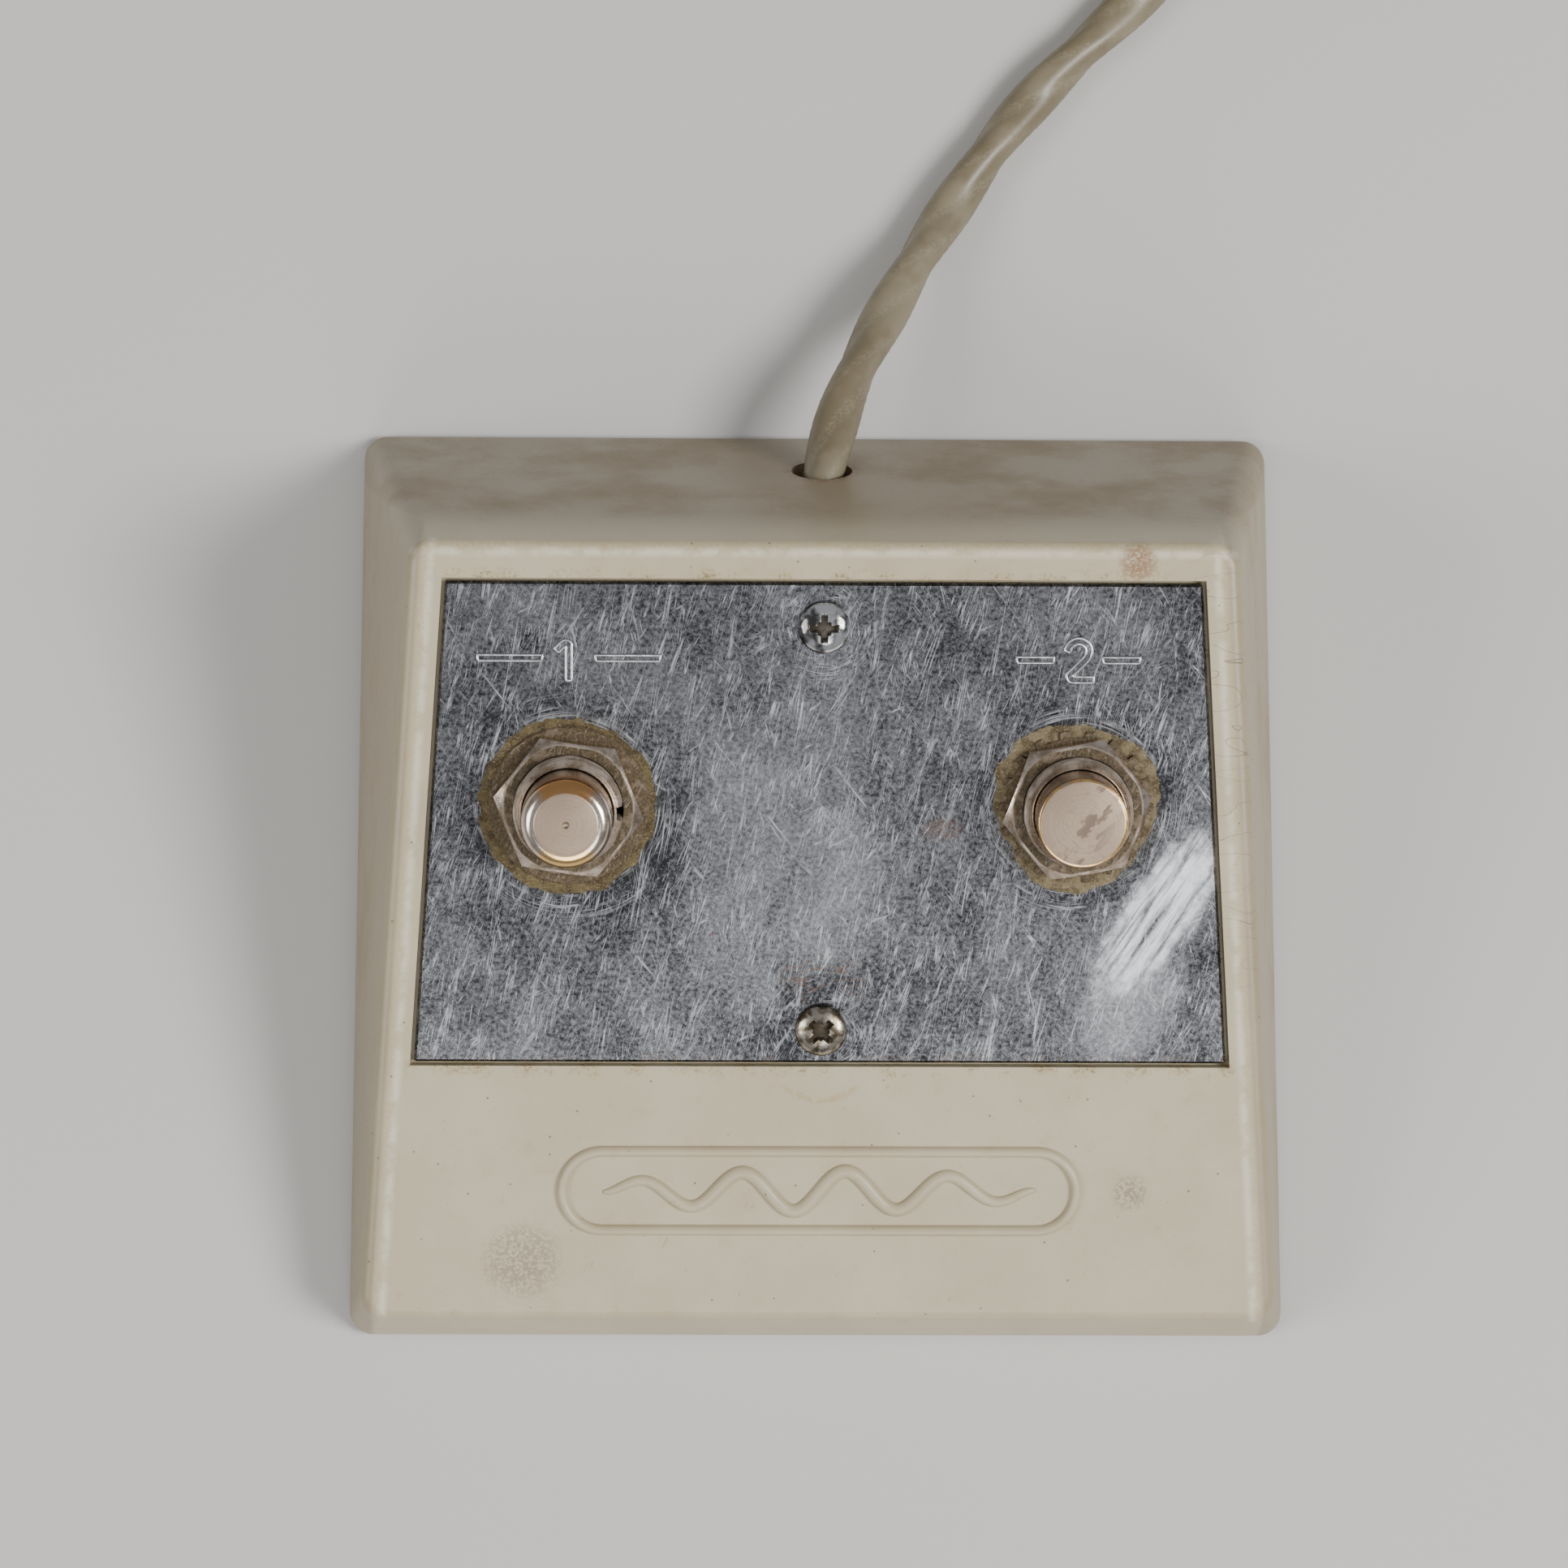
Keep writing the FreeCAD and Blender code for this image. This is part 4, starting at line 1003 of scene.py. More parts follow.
@dataclass(frozen=True)
class DriedGrime:
    """Yellow-brown dirt that dried in a crust round the nuts."""

    colour: Colour = (0.135, 0.100, 0.042)
    dark: Colour = (0.055, 0.036, 0.014)
    pale: Colour = (0.34, 0.28, 0.17)

    def build(self) -> bpy.types.Material:
        """Crumbly colour and a deep fine bump.

        Returns:
            The material.
        """
        tree = Tree("dried_grime")
        place = tree.place()
        cloud = tree.noise(place, 700.0, 4.0, 0.65)
        crumb = tree.noise(place, 4200.0, 4.0, 0.75)
        colour = tree.mix(cloud.rise(0.36, 0.60), self.dark, self.colour)
        colour = tree.mix(crumb.rise(0.52, 0.66) * 0.6, colour, self.pale)
        return tree.finish(Base_Color=colour, Roughness=0.9,
                           Normal=tree.bump(crumb + cloud, 0.00015, 0.9))


@dataclass(frozen=True)
class CordVinyl:
    """Grey-olive vinyl: gloss that breaks up, paler lines along the section and a few dark flecks."""

    colour: Colour = (0.235, 0.198, 0.128)
    dark: Colour = (0.170, 0.138, 0.082)
    pale: Colour = (0.35, 0.31, 0.22)

    def build(self) -> bpy.types.Material:
        """Colour along the cord's own UV map: u goes round, v along in metres.

        Returns:
            The material.
        """
        tree = Tree("cord_vinyl")
        place = tree.place()
        around, _, _ = tree.split(tree.uv())
        lobe = abs(tree.node("ShaderNodeMath", {"operation": "COSINE"},
                             {0: around * (4.0 * math.pi)}))
        cloud = tree.noise(place, 130.0, 3.0, 0.6)
        fine = tree.noise(place, 2600.0, 4.0, 0.65)
        colour = tree.mix(cloud.rise(0.35, 0.65), self.dark, self.colour)
        colour = tree.mix(lobe.rise(0.75, 1.0) * fine.rise(0.4, 0.65) * 0.35, colour, self.pale)
        colour = tree.mix(fine.rise(0.62, 0.75) * 0.4, colour, self.dark)
        return tree.finish(
            Base_Color=colour,
            Roughness=0.40 + 0.2 * (cloud - 0.5) + 0.2 * (fine - 0.5),
            Coat_Weight=0.10 * cloud,
            Normal=tree.bump(fine, 0.00003, 0.5))


# ---------------------------------------------------------------- sub-assemblies

def dress(names: Sequence[str], material: bpy.types.Material,
          nodes: dict[str, bpy.types.Object]) -> None:
    """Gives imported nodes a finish.

    Args:
        names: The nodes' names.
        material: Their new material.
        nodes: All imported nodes.
    """
    for name in names:
        thing = nodes[name]
        if not thing.material_slots:
            thing.data.materials.append(material)
        for slot in thing.material_slots:
            slot.material = material
        LOG.info("node %s: %s", name, material.name)


def settle(piece: bpy.types.Object, material: bpy.types.Material,
           body: str = MAIN_BODY, replaced: Sequence[str] = ()) -> bpy.types.Object:
    """Dresses a new piece, seats it on its body and hides what it stands for.

    Args:
        piece: The new piece.
        material: Its finish.
        body: The body that it moves with.
        replaced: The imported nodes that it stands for.

    Returns:
        The piece.
    """
    piece.data.materials.append(material)
    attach(piece, body)
    if replaced:
        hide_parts(*replaced)
    LOG.info("piece %s on %s: %d faces", piece.name, body, len(piece.data.polygons))
    return piece


@dataclass
class Cord:
    """One twisted oval cord: out of the housing, along the floor and into a neat coil."""

    route: tuple[Triple, ...] = (
        (-1.5, 31.0, 14.1), (-0.4, 39.4, 14.1), (1.0, 47.4, 13.7), (3.2, 55.0, 11.9),
        (6.3, 62.2, 9.2), (9.8, 69.2, 6.2), (13.4, 76.0, 4.0), (17.6, 82.6, 2.9),
        (22.4, 89.8, 2.8), (28.6, 96.7, 2.8), (36.4, 104.5, 2.8), (46.2, 113.7, 2.8))
    tail: tuple[Triple, ...] = (
        (69.1, 144.0, 19.6), (72.5, 153.4, 19.3), (73.6, 164.1, 17.6), (71.1, 175.0, 14.6),
        (64.7, 185.4, 11.3), (55.3, 193.6, 8.8), (43.7, 198.4, 7.3), (33.0, 199.4, 7.0),
        (20.0, 199.4, 7.0))
    exit: Triple = (0.4, 44.6, 14.0)
    centre: tuple[float, float] = (31.3, 152.0)
    outer_radius: float = 37.6
    pitch: float = 5.6
    start_angle: float = -46.0
    turns: float = 11.05
    points_per_turn: int = 18
    columns: tuple[int, ...] = (0, 1, 2, 2, 1, 0, 0, 1, 2, 2, 1, 0)
    layers: tuple[int, ...] = (0, 0, 0, 1, 1, 1, 2, 2, 2, 3, 3, 3)
    change_order: tuple[int, ...] = (6, 6, 5, 4, 4, 3, 2, 2, 1, 0, 0)
    change_from: float = 0.07
    change_step: float = 0.1022
    change_width: float = 0.307
    width: float = 5.3
    thickness: float = 4.5
    twist: float = 33.3
    twist_start: float = 0.40
    waist_depth: float = 0.06
    waist_width: float = 0.35
    step: float = 1.25
    sides: int = 22
    line: np.ndarray = field(default_factory=lambda: np.zeros((0, 3)))

    def coil(self) -> np.ndarray:
        """The coil's points, in millimetres.

        The turns fill the places of a 3 by 4 section in order. Each change of place is a
        smooth step, and the top changes come first in a turn, so no two turns meet.

        Returns:
            Points by x, y, z.
        """
        turn = np.linspace(0.0, self.turns, int(self.turns * self.points_per_turn) + 1)
        radius = np.full_like(turn, self.outer_radius)
        height = np.full_like(turn, self.pitch / 2)
        for place, order in enumerate(self.change_order):
            start = place + self.change_from + self.change_step * order
            share = np.clip((turn - start) / self.change_width, 0.0, 1.0)
            share = 0.5 - 0.5 * np.cos(np.pi * share)
            radius -= share * self.pitch * (self.columns[place + 1] - self.columns[place])
            height += share * self.pitch * (self.layers[place + 1] - self.layers[place])
        angle = np.radians(self.start_angle) + 2.0 * np.pi * turn
        return np.stack([self.centre[0] + radius * np.cos(angle),
                         self.centre[1] + radius * np.sin(angle), height], axis=1)

    def read_line(self) -> np.ndarray:
        """The cord's centreline, read from one spline and spaced evenly.

        Returns:
            Points in metres.
        """
        points = np.vstack([np.array(self.route), self.coil(), np.array(self.tail)]) * MM
        curve = bpy.data.curves.new("cord_line", "CURVE")
        curve.dimensions = "3D"
        curve.resolution_u = 10
        spline = curve.splines.new("NURBS")
        spline.points.add(len(points) - 1)
        spline.points.foreach_set("co", np.column_stack([points, np.ones(len(points))]).ravel())
        spline.order_u = 3
        spline.use_endpoint_u = True
        holder = bpy.data.objects.new("cord_line", curve)
        bpy.context.scene.collection.objects.link(holder)
        wire = bpy.data.meshes.new_from_object(holder)
        read = np.empty(len(wire.vertices) * 3)
        wire.vertices.foreach_get("co", read)
        bpy.data.objects.remove(holder)
        read = read.reshape(-1, 3)
        far = np.concatenate([[0.0], np.cumsum(np.linalg.norm(np.diff(read, axis=0), axis=1))])
        even = np.linspace(0.0, far[-1], int(far[-1] / (self.step * MM)) + 1)
        self.line = np.stack([np.interp(even, far, read[:, i]) for i in range(3)], axis=1)
        return self.line

    def length(self) -> float:
        """The centreline's length in metres."""
        return float(np.linalg.norm(np.diff(self.line, axis=0), axis=1).sum())

    def build(self, plug_pieces: list[bpy.types.Object]) -> bpy.types.Object:
        """An oval that turns steadily as it is carried along the line.

        The section is x = a cos t, y = b sin t with a small hollow at its waist; a whole turn
        of it takes the twist's length.

        Args:
            plug_pieces: What is on the cord's end; not used.

        Returns:
            The cord.
        """
        line = self.read_line()
        _, beside, above = path_frames(line, UP)
        far = np.linspace(0.0, self.length(), len(line))
        phase = 2.0 * np.pi * (far / (self.twist * MM) + self.twist_start)
        t = unit_circle(self.sides)
        waist = 1.0 - self.waist_depth * np.exp(-(np.cos(t) / self.waist_width) ** 2)
        a = 0.5 * self.width * MM * np.cos(t)
        b = 0.5 * self.thickness * MM * np.sin(t) * waist
        cos, sin = np.cos(phase)[:, None], np.sin(phase)[:, None]
        sideways = (a * cos - b * sin)[:, :, None] * beside[:, None, :]
        upwards = (a * sin + b * cos)[:, :, None] * above[:, None, :]
        uv = np.stack(np.broadcast_arrays(t[None, :] / (2.0 * np.pi), far[:, None]), axis=-1)
        piece = surface("twisted_cord", line[:, None, :] + sideways + upwards,
                        sharp_degrees=80.0, uv=uv)
        settle(piece, CordVinyl().build(),
               replaced=("cord_tube", "cord_coil", "cord_tail"))
        round(self.length(), 3)
        self.width * MM
        return piece


@dataclass
class Plug:
    """The phone plug's moulded grip and relief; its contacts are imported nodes."""

    start: Triple = (20.0, 199.4, 7.0)
    relief_end: float = 13.0
    grip_end: float = 53.0
    neck: float = 5.6
    barrel: float = 7.0
    flutes: int = 14
    flute_depth: float = 0.45
    groove_pitch: float = 2.3
    groove_depth: float = 0.45
    count: int = 56

    def seat(self) -> Seat:
        """The plug's frame, whose Z points from the cord to the plug's tip."""
        return Seat(Vector(self.start) * MM, Euler((0.0, -math.pi / 2, 0.0)))

    def grip(self) -> bpy.types.Object:
        """The handle: a neck that swells to a barrel with shallow flutes all round.

        The radius falls by the flutes' depth, as the sixth power of a cosine, and the flutes
        fade in and out along the barrel.

        Returns:
            The piece.
        """
        low, high = self.relief_end, self.grip_end
        swell = np.linspace(0.0, 1.0, 14)
        widen = self.barrel - self.neck
        neck = np.stack([self.neck + widen * (0.5 - 0.5 * np.cos(np.pi * swell)),
                         low + 0.5 + 11.5 * swell], axis=1)
        barrel = np.stack([np.full(40, self.barrel),
                           np.linspace(low + 13.0, high - 1.5, 40)], axis=1)
        profile = np.vstack([
            [[0.05, low]], [[5.1, low]], neck, barrel,
            arc_profile((self.barrel, high - 0.8), (self.barrel - 0.8, high), 6, True), [[0.05, high]]])

        def flutes(height: np.ndarray, angle: np.ndarray) -> np.ndarray:
            """How far the flutes cut in."""
            fade = np.clip((height - low - 14.0) / 2.0, 0, 1) * np.clip(
                (high - 5.0 - height) / 2.0, 0, 1)
            return -self.flute_depth * fade * (0.5 + 0.5 * np.cos(self.flutes * angle)) ** 3

        return surface("plug_grip", self.seat().lay(turned_shape(profile, 140, flutes)))

    def relief(self) -> bpy.types.Object:
        """The relief: a cone whose radius drops at five ring grooves.

        Returns:
            The piece.
        """
        end = self.relief_end
        height = np.linspace(0.0, end, 90)
        radius = 3.4 + 0.7 * height / end
        groove = np.clip(np.cos(2.0 * np.pi * (height - 1.6) / self.groove_pitch), 0.0, 1.0) ** 2
        groove = groove * (height > 1.0) * (height < 12.0)
        body = np.stack([radius - self.groove_depth * groove, height], axis=1)
        profile = np.vstack([[[2.7, 0.0]], body, [[0.05, end]]])
        return surface("plug_strain_relief", self.seat().lay(turned_shape(profile, self.count)))

    def build(self, nodes: dict[str, bpy.types.Object]) -> list[bpy.types.Object]:
        """Both moulded pieces and the dressed contacts.

        Args:
            nodes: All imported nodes.

        Returns:
            Everything that is on the cord's end.
        """
        black = PlainFinish("plug_moulding", (0.022, 0.021, 0.020), (0.014, 0.014, 0.014),
                            roughness=0.42, scale=260.0, grain=5200.0).build()
        nickel = PlainFinish("plug_contacts", (0.66, 0.62, 0.55), (0.50, 0.46, 0.39),
                             metallic=1.0, roughness=0.24, scale=420.0).build()
        rings = PlainFinish("plug_rings", (0.03, 0.03, 0.03), (0.02, 0.02, 0.02),
                            roughness=0.5).build()
        grip = settle(self.grip(), black, replaced=("plug_handle",))
        relief = settle(self.relief(), black, replaced=("plug_relief",))
        metal = ("plug_sleeve", "plug_ring", "plug_tip")
        dress(metal, nickel, nodes)
        dress(("plug_insulators",), rings, nodes)
        return [grip, relief, *(nodes[name] for name in (*metal, "plug_insulators"))]


@dataclass
class Switch:
    """One push switch: bushing, button, nut, washer and the dirt round them."""

    side: Side
    seat: Seat
    bushing_top: float
    button_top: float
    flat_radius: float
    shoulder: float
    keyed: bool
    grime_radius: float
    nut_turn: float
    seed: int
    bushing_radius: float = 5.95
    bore: float = 4.95
    thread_pitch: float = 0.794
    thread_depth: float = 0.34
    button_radius: float = 4.9
    keyway_half: float = 0.8
    keyway_depth: float = 0.75
    ledge: float = -6.5
    roof_below_top: float = 3.5
    travel: float = 3.5
    spring_radius: float = 2.6
    spring_wire: float = 0.6
    spring_turns: float = 5.0
    spring_gap: float = 0.05
    crust_inner: float = 6.4
    crust_height: float = 0.34
    count: int = 144

    def bushing(self) -> bpy.types.Object:
        """A threaded sleeve.

        Outside, the radius falls by the thread's depth times a triangle wave of height over
        pitch minus angle over a whole turn, and by the keyway's depth near angle zero. The rim
        carries two fine turned rings.

        Returns:
            The piece.
        """
        top, ledge, low = self.bushing_top, self.ledge, -8.0
        rows = int((top - 0.4 + 2.0) / self.thread_pitch * 10)
        thread = np.stack([np.full(rows, self.bushing_radius),
                           np.linspace(-2.0, top - 0.35, rows)], axis=1)
        rim_radius = np.linspace(self.bushing_radius - 0.4, self.bore + 0.22, 22)
        ripple = 0.07 * np.sin(np.linspace(0.0, 5.0 * np.pi, 22)) * (0.4 if self.keyed else 1.0)
        rim = np.stack([rim_radius, top - 0.06 + ripple], axis=1)
        profile = np.vstack([
            [[1.65, low], [self.bushing_radius, low], [self.bushing_radius, -2.2]], thread, rim,
            arc_profile((self.bore + 0.2, top - 0.05), (self.bore, top - 0.3), 5, False),
            [[self.bore, ledge + 3.0], [self.bore, ledge], [1.65, ledge]]])

        def cut(height: np.ndarray, angle: np.ndarray) -> np.ndarray:
            """How far thread and keyway cut in."""
            place = np.arange(len(profile))
            outside = (place >= 2) & (place < 3 + rows + 14)
            threaded = (place >= 3) & (place < 3 + rows)
            phase = (height / self.thread_pitch - angle / (2.0 * np.pi)) % 1.0
            wave = np.abs(2.0 * phase - 1.0)
            change = -self.thread_depth * wave * threaded[:, None]
            if self.keyed:
                off = np.abs((angle + np.pi) % (2.0 * np.pi) - np.pi) * self.bushing_radius
                key = np.clip((self.keyway_half - off) / 0.12, 0.0, 1.0)
                room = np.maximum(profile[:, :1] + change - self.bushing_radius
                                  + self.keyway_depth, 0.0)
                change = change - key * room * outside[:, None]
            return change

        rings = turned_shape(profile, 4 * self.count, cut)
        return surface(f"{self.side.value}_threaded_bushing", self.seat.lay(rings), capped=False,
                       sharp_degrees=40.0)

    def button(self) -> bpy.types.Object:
        """The plunger: a hollow cap with a stem inside, its shoulder a quarter of an ellipse.

        Returns:
            The piece.
        """
        top, radius = self.button_top, self.button_radius
        roof, skirt, stem_low = top - self.roof_below_top, -2.9, -9.8
        crown = arc_profile((radius, top - self.shoulder), (self.flat_radius + 0.18, top - 0.06),
                            16, True)
        lip = np.array([[self.flat_radius, top - 0.03], [self.flat_radius - 0.12, top]])
        middle = ([[0.42, top], [0.34, top - 0.06], [0.14, top - 0.26], [0.03, top - 0.3]]
                  if self.side is Side.LEFT else [[0.6, top], [0.03, top]])
        profile = np.vstack([
            [[0.03, stem_low], [1.45, stem_low], [1.6, stem_low + 0.2], [1.6, roof], [3.6, roof],
             [3.6, skirt], [radius - 0.12, skirt], [radius, skirt + 0.15],
             [radius, top - self.shoulder - 1.0]], crown, lip, middle])
        rings = turned_shape(profile, self.count)
        return surface(f"{self.side.value}_button", self.seat.lay(rings), sharp_degrees=30.0)

    def spring(self) -> bpy.types.Object:
        """The return spring, from the sleeve's ledge to the button's roof.

        Its wire is a circle carried along a helix: x = r cos a, y = r sin a, z rising evenly.

        Returns:
            The piece.
        """
        inset = self.spring_wire / 2 + self.spring_gap
        low = self.ledge + inset
        high = self.button_top - self.roof_below_top - inset
        share = np.linspace(0.0, 1.0, int(60 * self.spring_turns))
        angle = 2.0 * np.pi * self.spring_turns * share
        line = np.stack([self.spring_radius * np.cos(angle), self.spring_radius * np.sin(angle),
                         low + (high - low) * share], axis=1)
        _, beside, above = path_frames(line, UP)
        t = unit_circle(12)[None, :, None]
        ring = self.spring_wire / 2 * (np.cos(t) * beside[:, None] + np.sin(t) * above[:, None])
        return surface(f"{self.side.value}_spring_coil", self.seat.lay(line[:, None] + ring),
                       sharp_degrees=60.0)

    def press_spring(self, piece: bpy.types.Object) -> None:
        """Gives the spring a mesh of its own.

        Args:
            piece: The spring.
        """
        anchor = self.seat.lay(np.array([0.0, 0.0, self.ledge]))
        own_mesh(piece)

    def crust(self) -> bpy.types.Object:
        """Dried dirt on the plate round the nut.

        A flat ring whose outer edge wanders with noise of the bearing and whose top is a low
        dome broken up by noise.

        Returns:
            The piece.
        """
        angle = unit_circle(260)
        base = value_noise(2.2 * np.cos(angle), 2.2 * np.sin(angle), self.seed)
        crumbs = value_noise(17.0 * np.cos(angle), 17.0 * np.sin(angle), self.seed + 1)
        lobes = np.cos(3.0 * angle - 1.45) if self.side is Side.RIGHT else 0.25 * np.cos(
            angle + 2.0)
        outer = self.grime_radius + 0.42 * base + 0.30 * crumbs + 0.42 * lobes
        share = np.linspace(0.0, 1.0, 22)[:, None]
        radius = self.crust_inner + (outer[None, :] - self.crust_inner) * share
        x, y = radius * np.cos(angle), radius * np.sin(angle)
        rough = value_noise(3.0 * x, 3.0 * y, self.seed + 2)
        fall = np.clip(1.0 - share ** 5, 0.0, 1.0)
        dome = self.crust_height * fall * (0.75 + 0.35 * rough)
        upper = np.stack([x, y, np.maximum(dome, 0.015)], axis=-1)
        lower = np.stack([x, y, np.full_like(x, -0.05)], axis=-1)
        rings = np.concatenate([upper, lower[::-1]])
        return surface(f"{self.side.value}_grime_ring", self.seat.lay(rings), capped=False,
                       sharp_degrees=60.0)

    def build(self, nodes: dict[str, bpy.types.Object]) -> None:
        """Makes and dresses everything of this switch.

        Args:
            nodes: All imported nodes.
        """
        name = self.side.value
        sleeve = TarnishedNickel(f"{name}_bushing_nickel", clean_from=5.1, clean_to=4.8,
                                 amount=0.35).build(self.seat)
        nut = TarnishedNickel(f"{name}_nut_nickel", clean_from=6.9, clean_to=7.3, amount=1.1,
                              hexagon_turn=self.nut_turn).build(self.seat)
        washer = TarnishedNickel(f"{name}_washer_nickel", clean_from=8.6, clean_to=9.1,
                                 amount=1.15).build(self.seat)
        settle(self.bushing(), sleeve, replaced=(f"{name}_bushing",))
        metal = PlungerMetal(self.side, self.flat_radius, self.button_top).build(self.seat)
        settle(self.button(), metal, f"{name}_button", (f"{name}_plunger",))
        wire = PlainFinish(f"{name}_spring_wire", (0.50, 0.49, 0.47), (0.32, 0.31, 0.30),
                           metallic=1.0, roughness=0.3).build()
        coil = settle(self.spring(), wire, replaced=(f"{name}_return_spring",))
        self.press_spring(coil)
        dirt = DriedGrime() if self.side is Side.LEFT else DriedGrime(
            (0.210, 0.165, 0.090), (0.090, 0.064, 0.028), (0.42, 0.36, 0.25))
        settle(self.crust(), dirt.build())
        dress((f"{name}_hex_nut", f"{name}_jam_nut"), nut, nodes)
        ring = "left_flat_washer" if self.side is Side.LEFT else "right_tooth_washer"
        dress((ring,), washer, nodes)


@dataclass
class Screw:
    """A domed screw with a cross recess, seated on the plate."""

    name: str
    node: str
    seat: Seat
    recess_turn: float
    radius: float = 2.85
    height: float = 1.5
    edge_height: float = 0.45
    arm: float = 1.6
    arm_half: float = 0.40
    depth: float = 0.9

    def shape(self) -> bpy.types.Object:
        """The head's top is a grid of radius and bearing, the rest a turned profile.

        Its height is an ellipse of the radius, less the recess: two crossed slots whose depth
        fades over their slanted walls.

        Returns:
            The piece.
        """
        low = np.array([[0.03, -9.8], [0.5, -9.8], [1.6, -8.4], [1.6, 0.02],
                        [self.radius, 0.02]])
        radius = np.concatenate([np.linspace(self.radius, 2.2, 14),
                                 np.linspace(2.17, 0.04, 72)])
        dome = self.height - self.edge_height
        top = self.edge_height + dome * np.sqrt(np.maximum(
            1.0 - (radius / self.radius) ** 2, 0.0))
        rings = turned_shape(np.vstack([low, np.stack([radius, top], axis=1)]), 216)
        angle = unit_circle(216)[None, :] - math.radians(self.recess_turn)
        x = np.abs(radius[:, None] * np.cos(angle))
        y = np.abs(radius[:, None] * np.sin(angle))

        def slot(along: np.ndarray, beside: np.ndarray) -> np.ndarray:
            """How deep one slot is, from 0 to 1."""
            ends = np.clip((self.arm - along) / 0.5, 0.0, 1.0)
            walls = np.clip((self.arm_half - beside) / 0.13, 0.0, 1.0)
            return np.minimum(ends, walls)

        middle = np.clip((1.0 - np.hypot(x, y)) / 0.25, 0.0, 1.0)
        sunk = np.maximum(np.maximum(slot(x, y), slot(y, x)), middle * (np.maximum(x, y) < 0.75))
        rings[len(low):, :, 2] -= self.depth * sunk
        return surface(self.name, self.seat.lay(rings), sharp_degrees=50.0)

    def build(self, metal: ScrewMetal) -> None:
        """Makes and seats the screw.

        Args:
            metal: Its plating.
        """
        settle(self.shape(), metal.build(self.seat), replaced=(self.node,))


@dataclass
class PlateMarks:
    """Generic stamped marks on the plate: a number between two bars over each switch."""

    seat: Seat
    spread: float
    height: float = 4.3
    above: float = 16.2
    line: float = 0.16
    gap: float = 0.32
    corner: float = 0.08
    bars: dict[str, tuple[float, float]] = field(
        default_factory=lambda: {"1": (3.2, 9.6), "2": (3.0, 6.4)})

    def digit(self, text: str) -> np.ndarray:
        """The stroke of a number, an open path in shares of its height.

        Args:
            text: "1" or "2".

        Returns:
            Points by x, y.
        """
        if text == "1":
            tip = self.arc(-self.corner, 0.807, self.corner, 135.0, 0.0)
            return np.vstack([[(-0.26, 0.74)], tip, [(0.0, 0.0)]])
        bow = self.arc(0.0, 0.72, 0.27, 165.0, -45.0)
        heel = self.arc(-0.145, self.corner, self.corner, 135.0, 270.0)
        return np.vstack([bow, heel, [(0.32, 0.0)]])

    @staticmethod
    def arc(x: float, y: float, radius: float, start: float, end: float) -> np.ndarray:
        """An arc's points.

        Args:
            x: Its centre, across.
            y: Its centre, up.
            radius: Its radius.
            start: Where it starts, in degrees.
            end: Where it ends, in degrees.

        Returns:
            Points by x, y.
        """
        angle = np.radians(np.linspace(start, end, 16))
        return np.stack([x + radius * np.cos(angle), y + radius * np.sin(angle)], axis=1)

    def outline(self, path: np.ndarray, gap: float) -> np.ndarray:
        """A closed outline at a gap from both sides of a path.

        Each point moves out along the mean of its neighbours' normals, stretched at corners
        by one over the cosine of half the turn.

        Args:
            path: Points by x, y.
            gap: Distance to each side.

        Returns:
            Points by x, y, all round.
        """
        step = np.diff(path, axis=0)
        step /= np.linalg.norm(step, axis=1, keepdims=True)
        before, after = np.vstack([step[:1], step]), np.vstack([step, step[-1:]])
        middle = before + after
        middle /= np.linalg.norm(middle, axis=1, keepdims=True)
        stretch = 1.0 / np.maximum((middle * after).sum(1), 0.5)
        normal = np.stack([-middle[:, 1], middle[:, 0]], axis=1) * stretch[:, None]
        ends = path.copy()
        ends[0] -= step[0] * gap
        ends[-1] += step[-1] * gap
        return np.vstack([ends + normal * gap, (ends - normal * gap)[::-1]])

    def build(self) -> None:
        """Stamps both marks."""
        metal = PlainFinish("stamped_line", (0.80, 0.80, 0.82), (0.50, 0.50, 0.51),
                            metallic=1.0, roughness=0.28, scale=900.0).build()
        for text, x in (("1", -self.spread), ("2", self.spread)):
            near, far = self.bars[text]
            paths = {"digit": (self.digit(text) - [0.0, 0.5]) * self.height,
                     "bar_left": np.array([(-far, 0.0), (-near, 0.0)]),
                     "bar_right": np.array([(near, 0.0), (far, 0.0)])}
            for part, path in paths.items():
                shape = self.outline(path, self.gap)
                flat = np.column_stack([shape + [x, self.above], np.zeros(len(shape))])
                piece = ridge(f"mark_{text}_{part}", dense(flat, 0.25), self.seat, self.line,
                              0.14, closed=True)
                settle(piece, metal)


def dense(path: np.ndarray, step: float) -> np.ndarray:
    """A closed path with points a step apart along every run.

    Args:
        path: Corner points.
        step: The wanted spacing.

    Returns:
        More points on the same path.
    """
    closed = np.vstack([path, path[:1]])
    far = np.concatenate([[0.0], np.cumsum(np.linalg.norm(np.diff(closed, axis=0), axis=1))])
    even = np.linspace(0.0, far[-1], max(8, int(far[-1] / step)), endpoint=False)
    return np.stack([np.interp(even, far, closed[:, i]) for i in range(closed.shape[1])], axis=1)


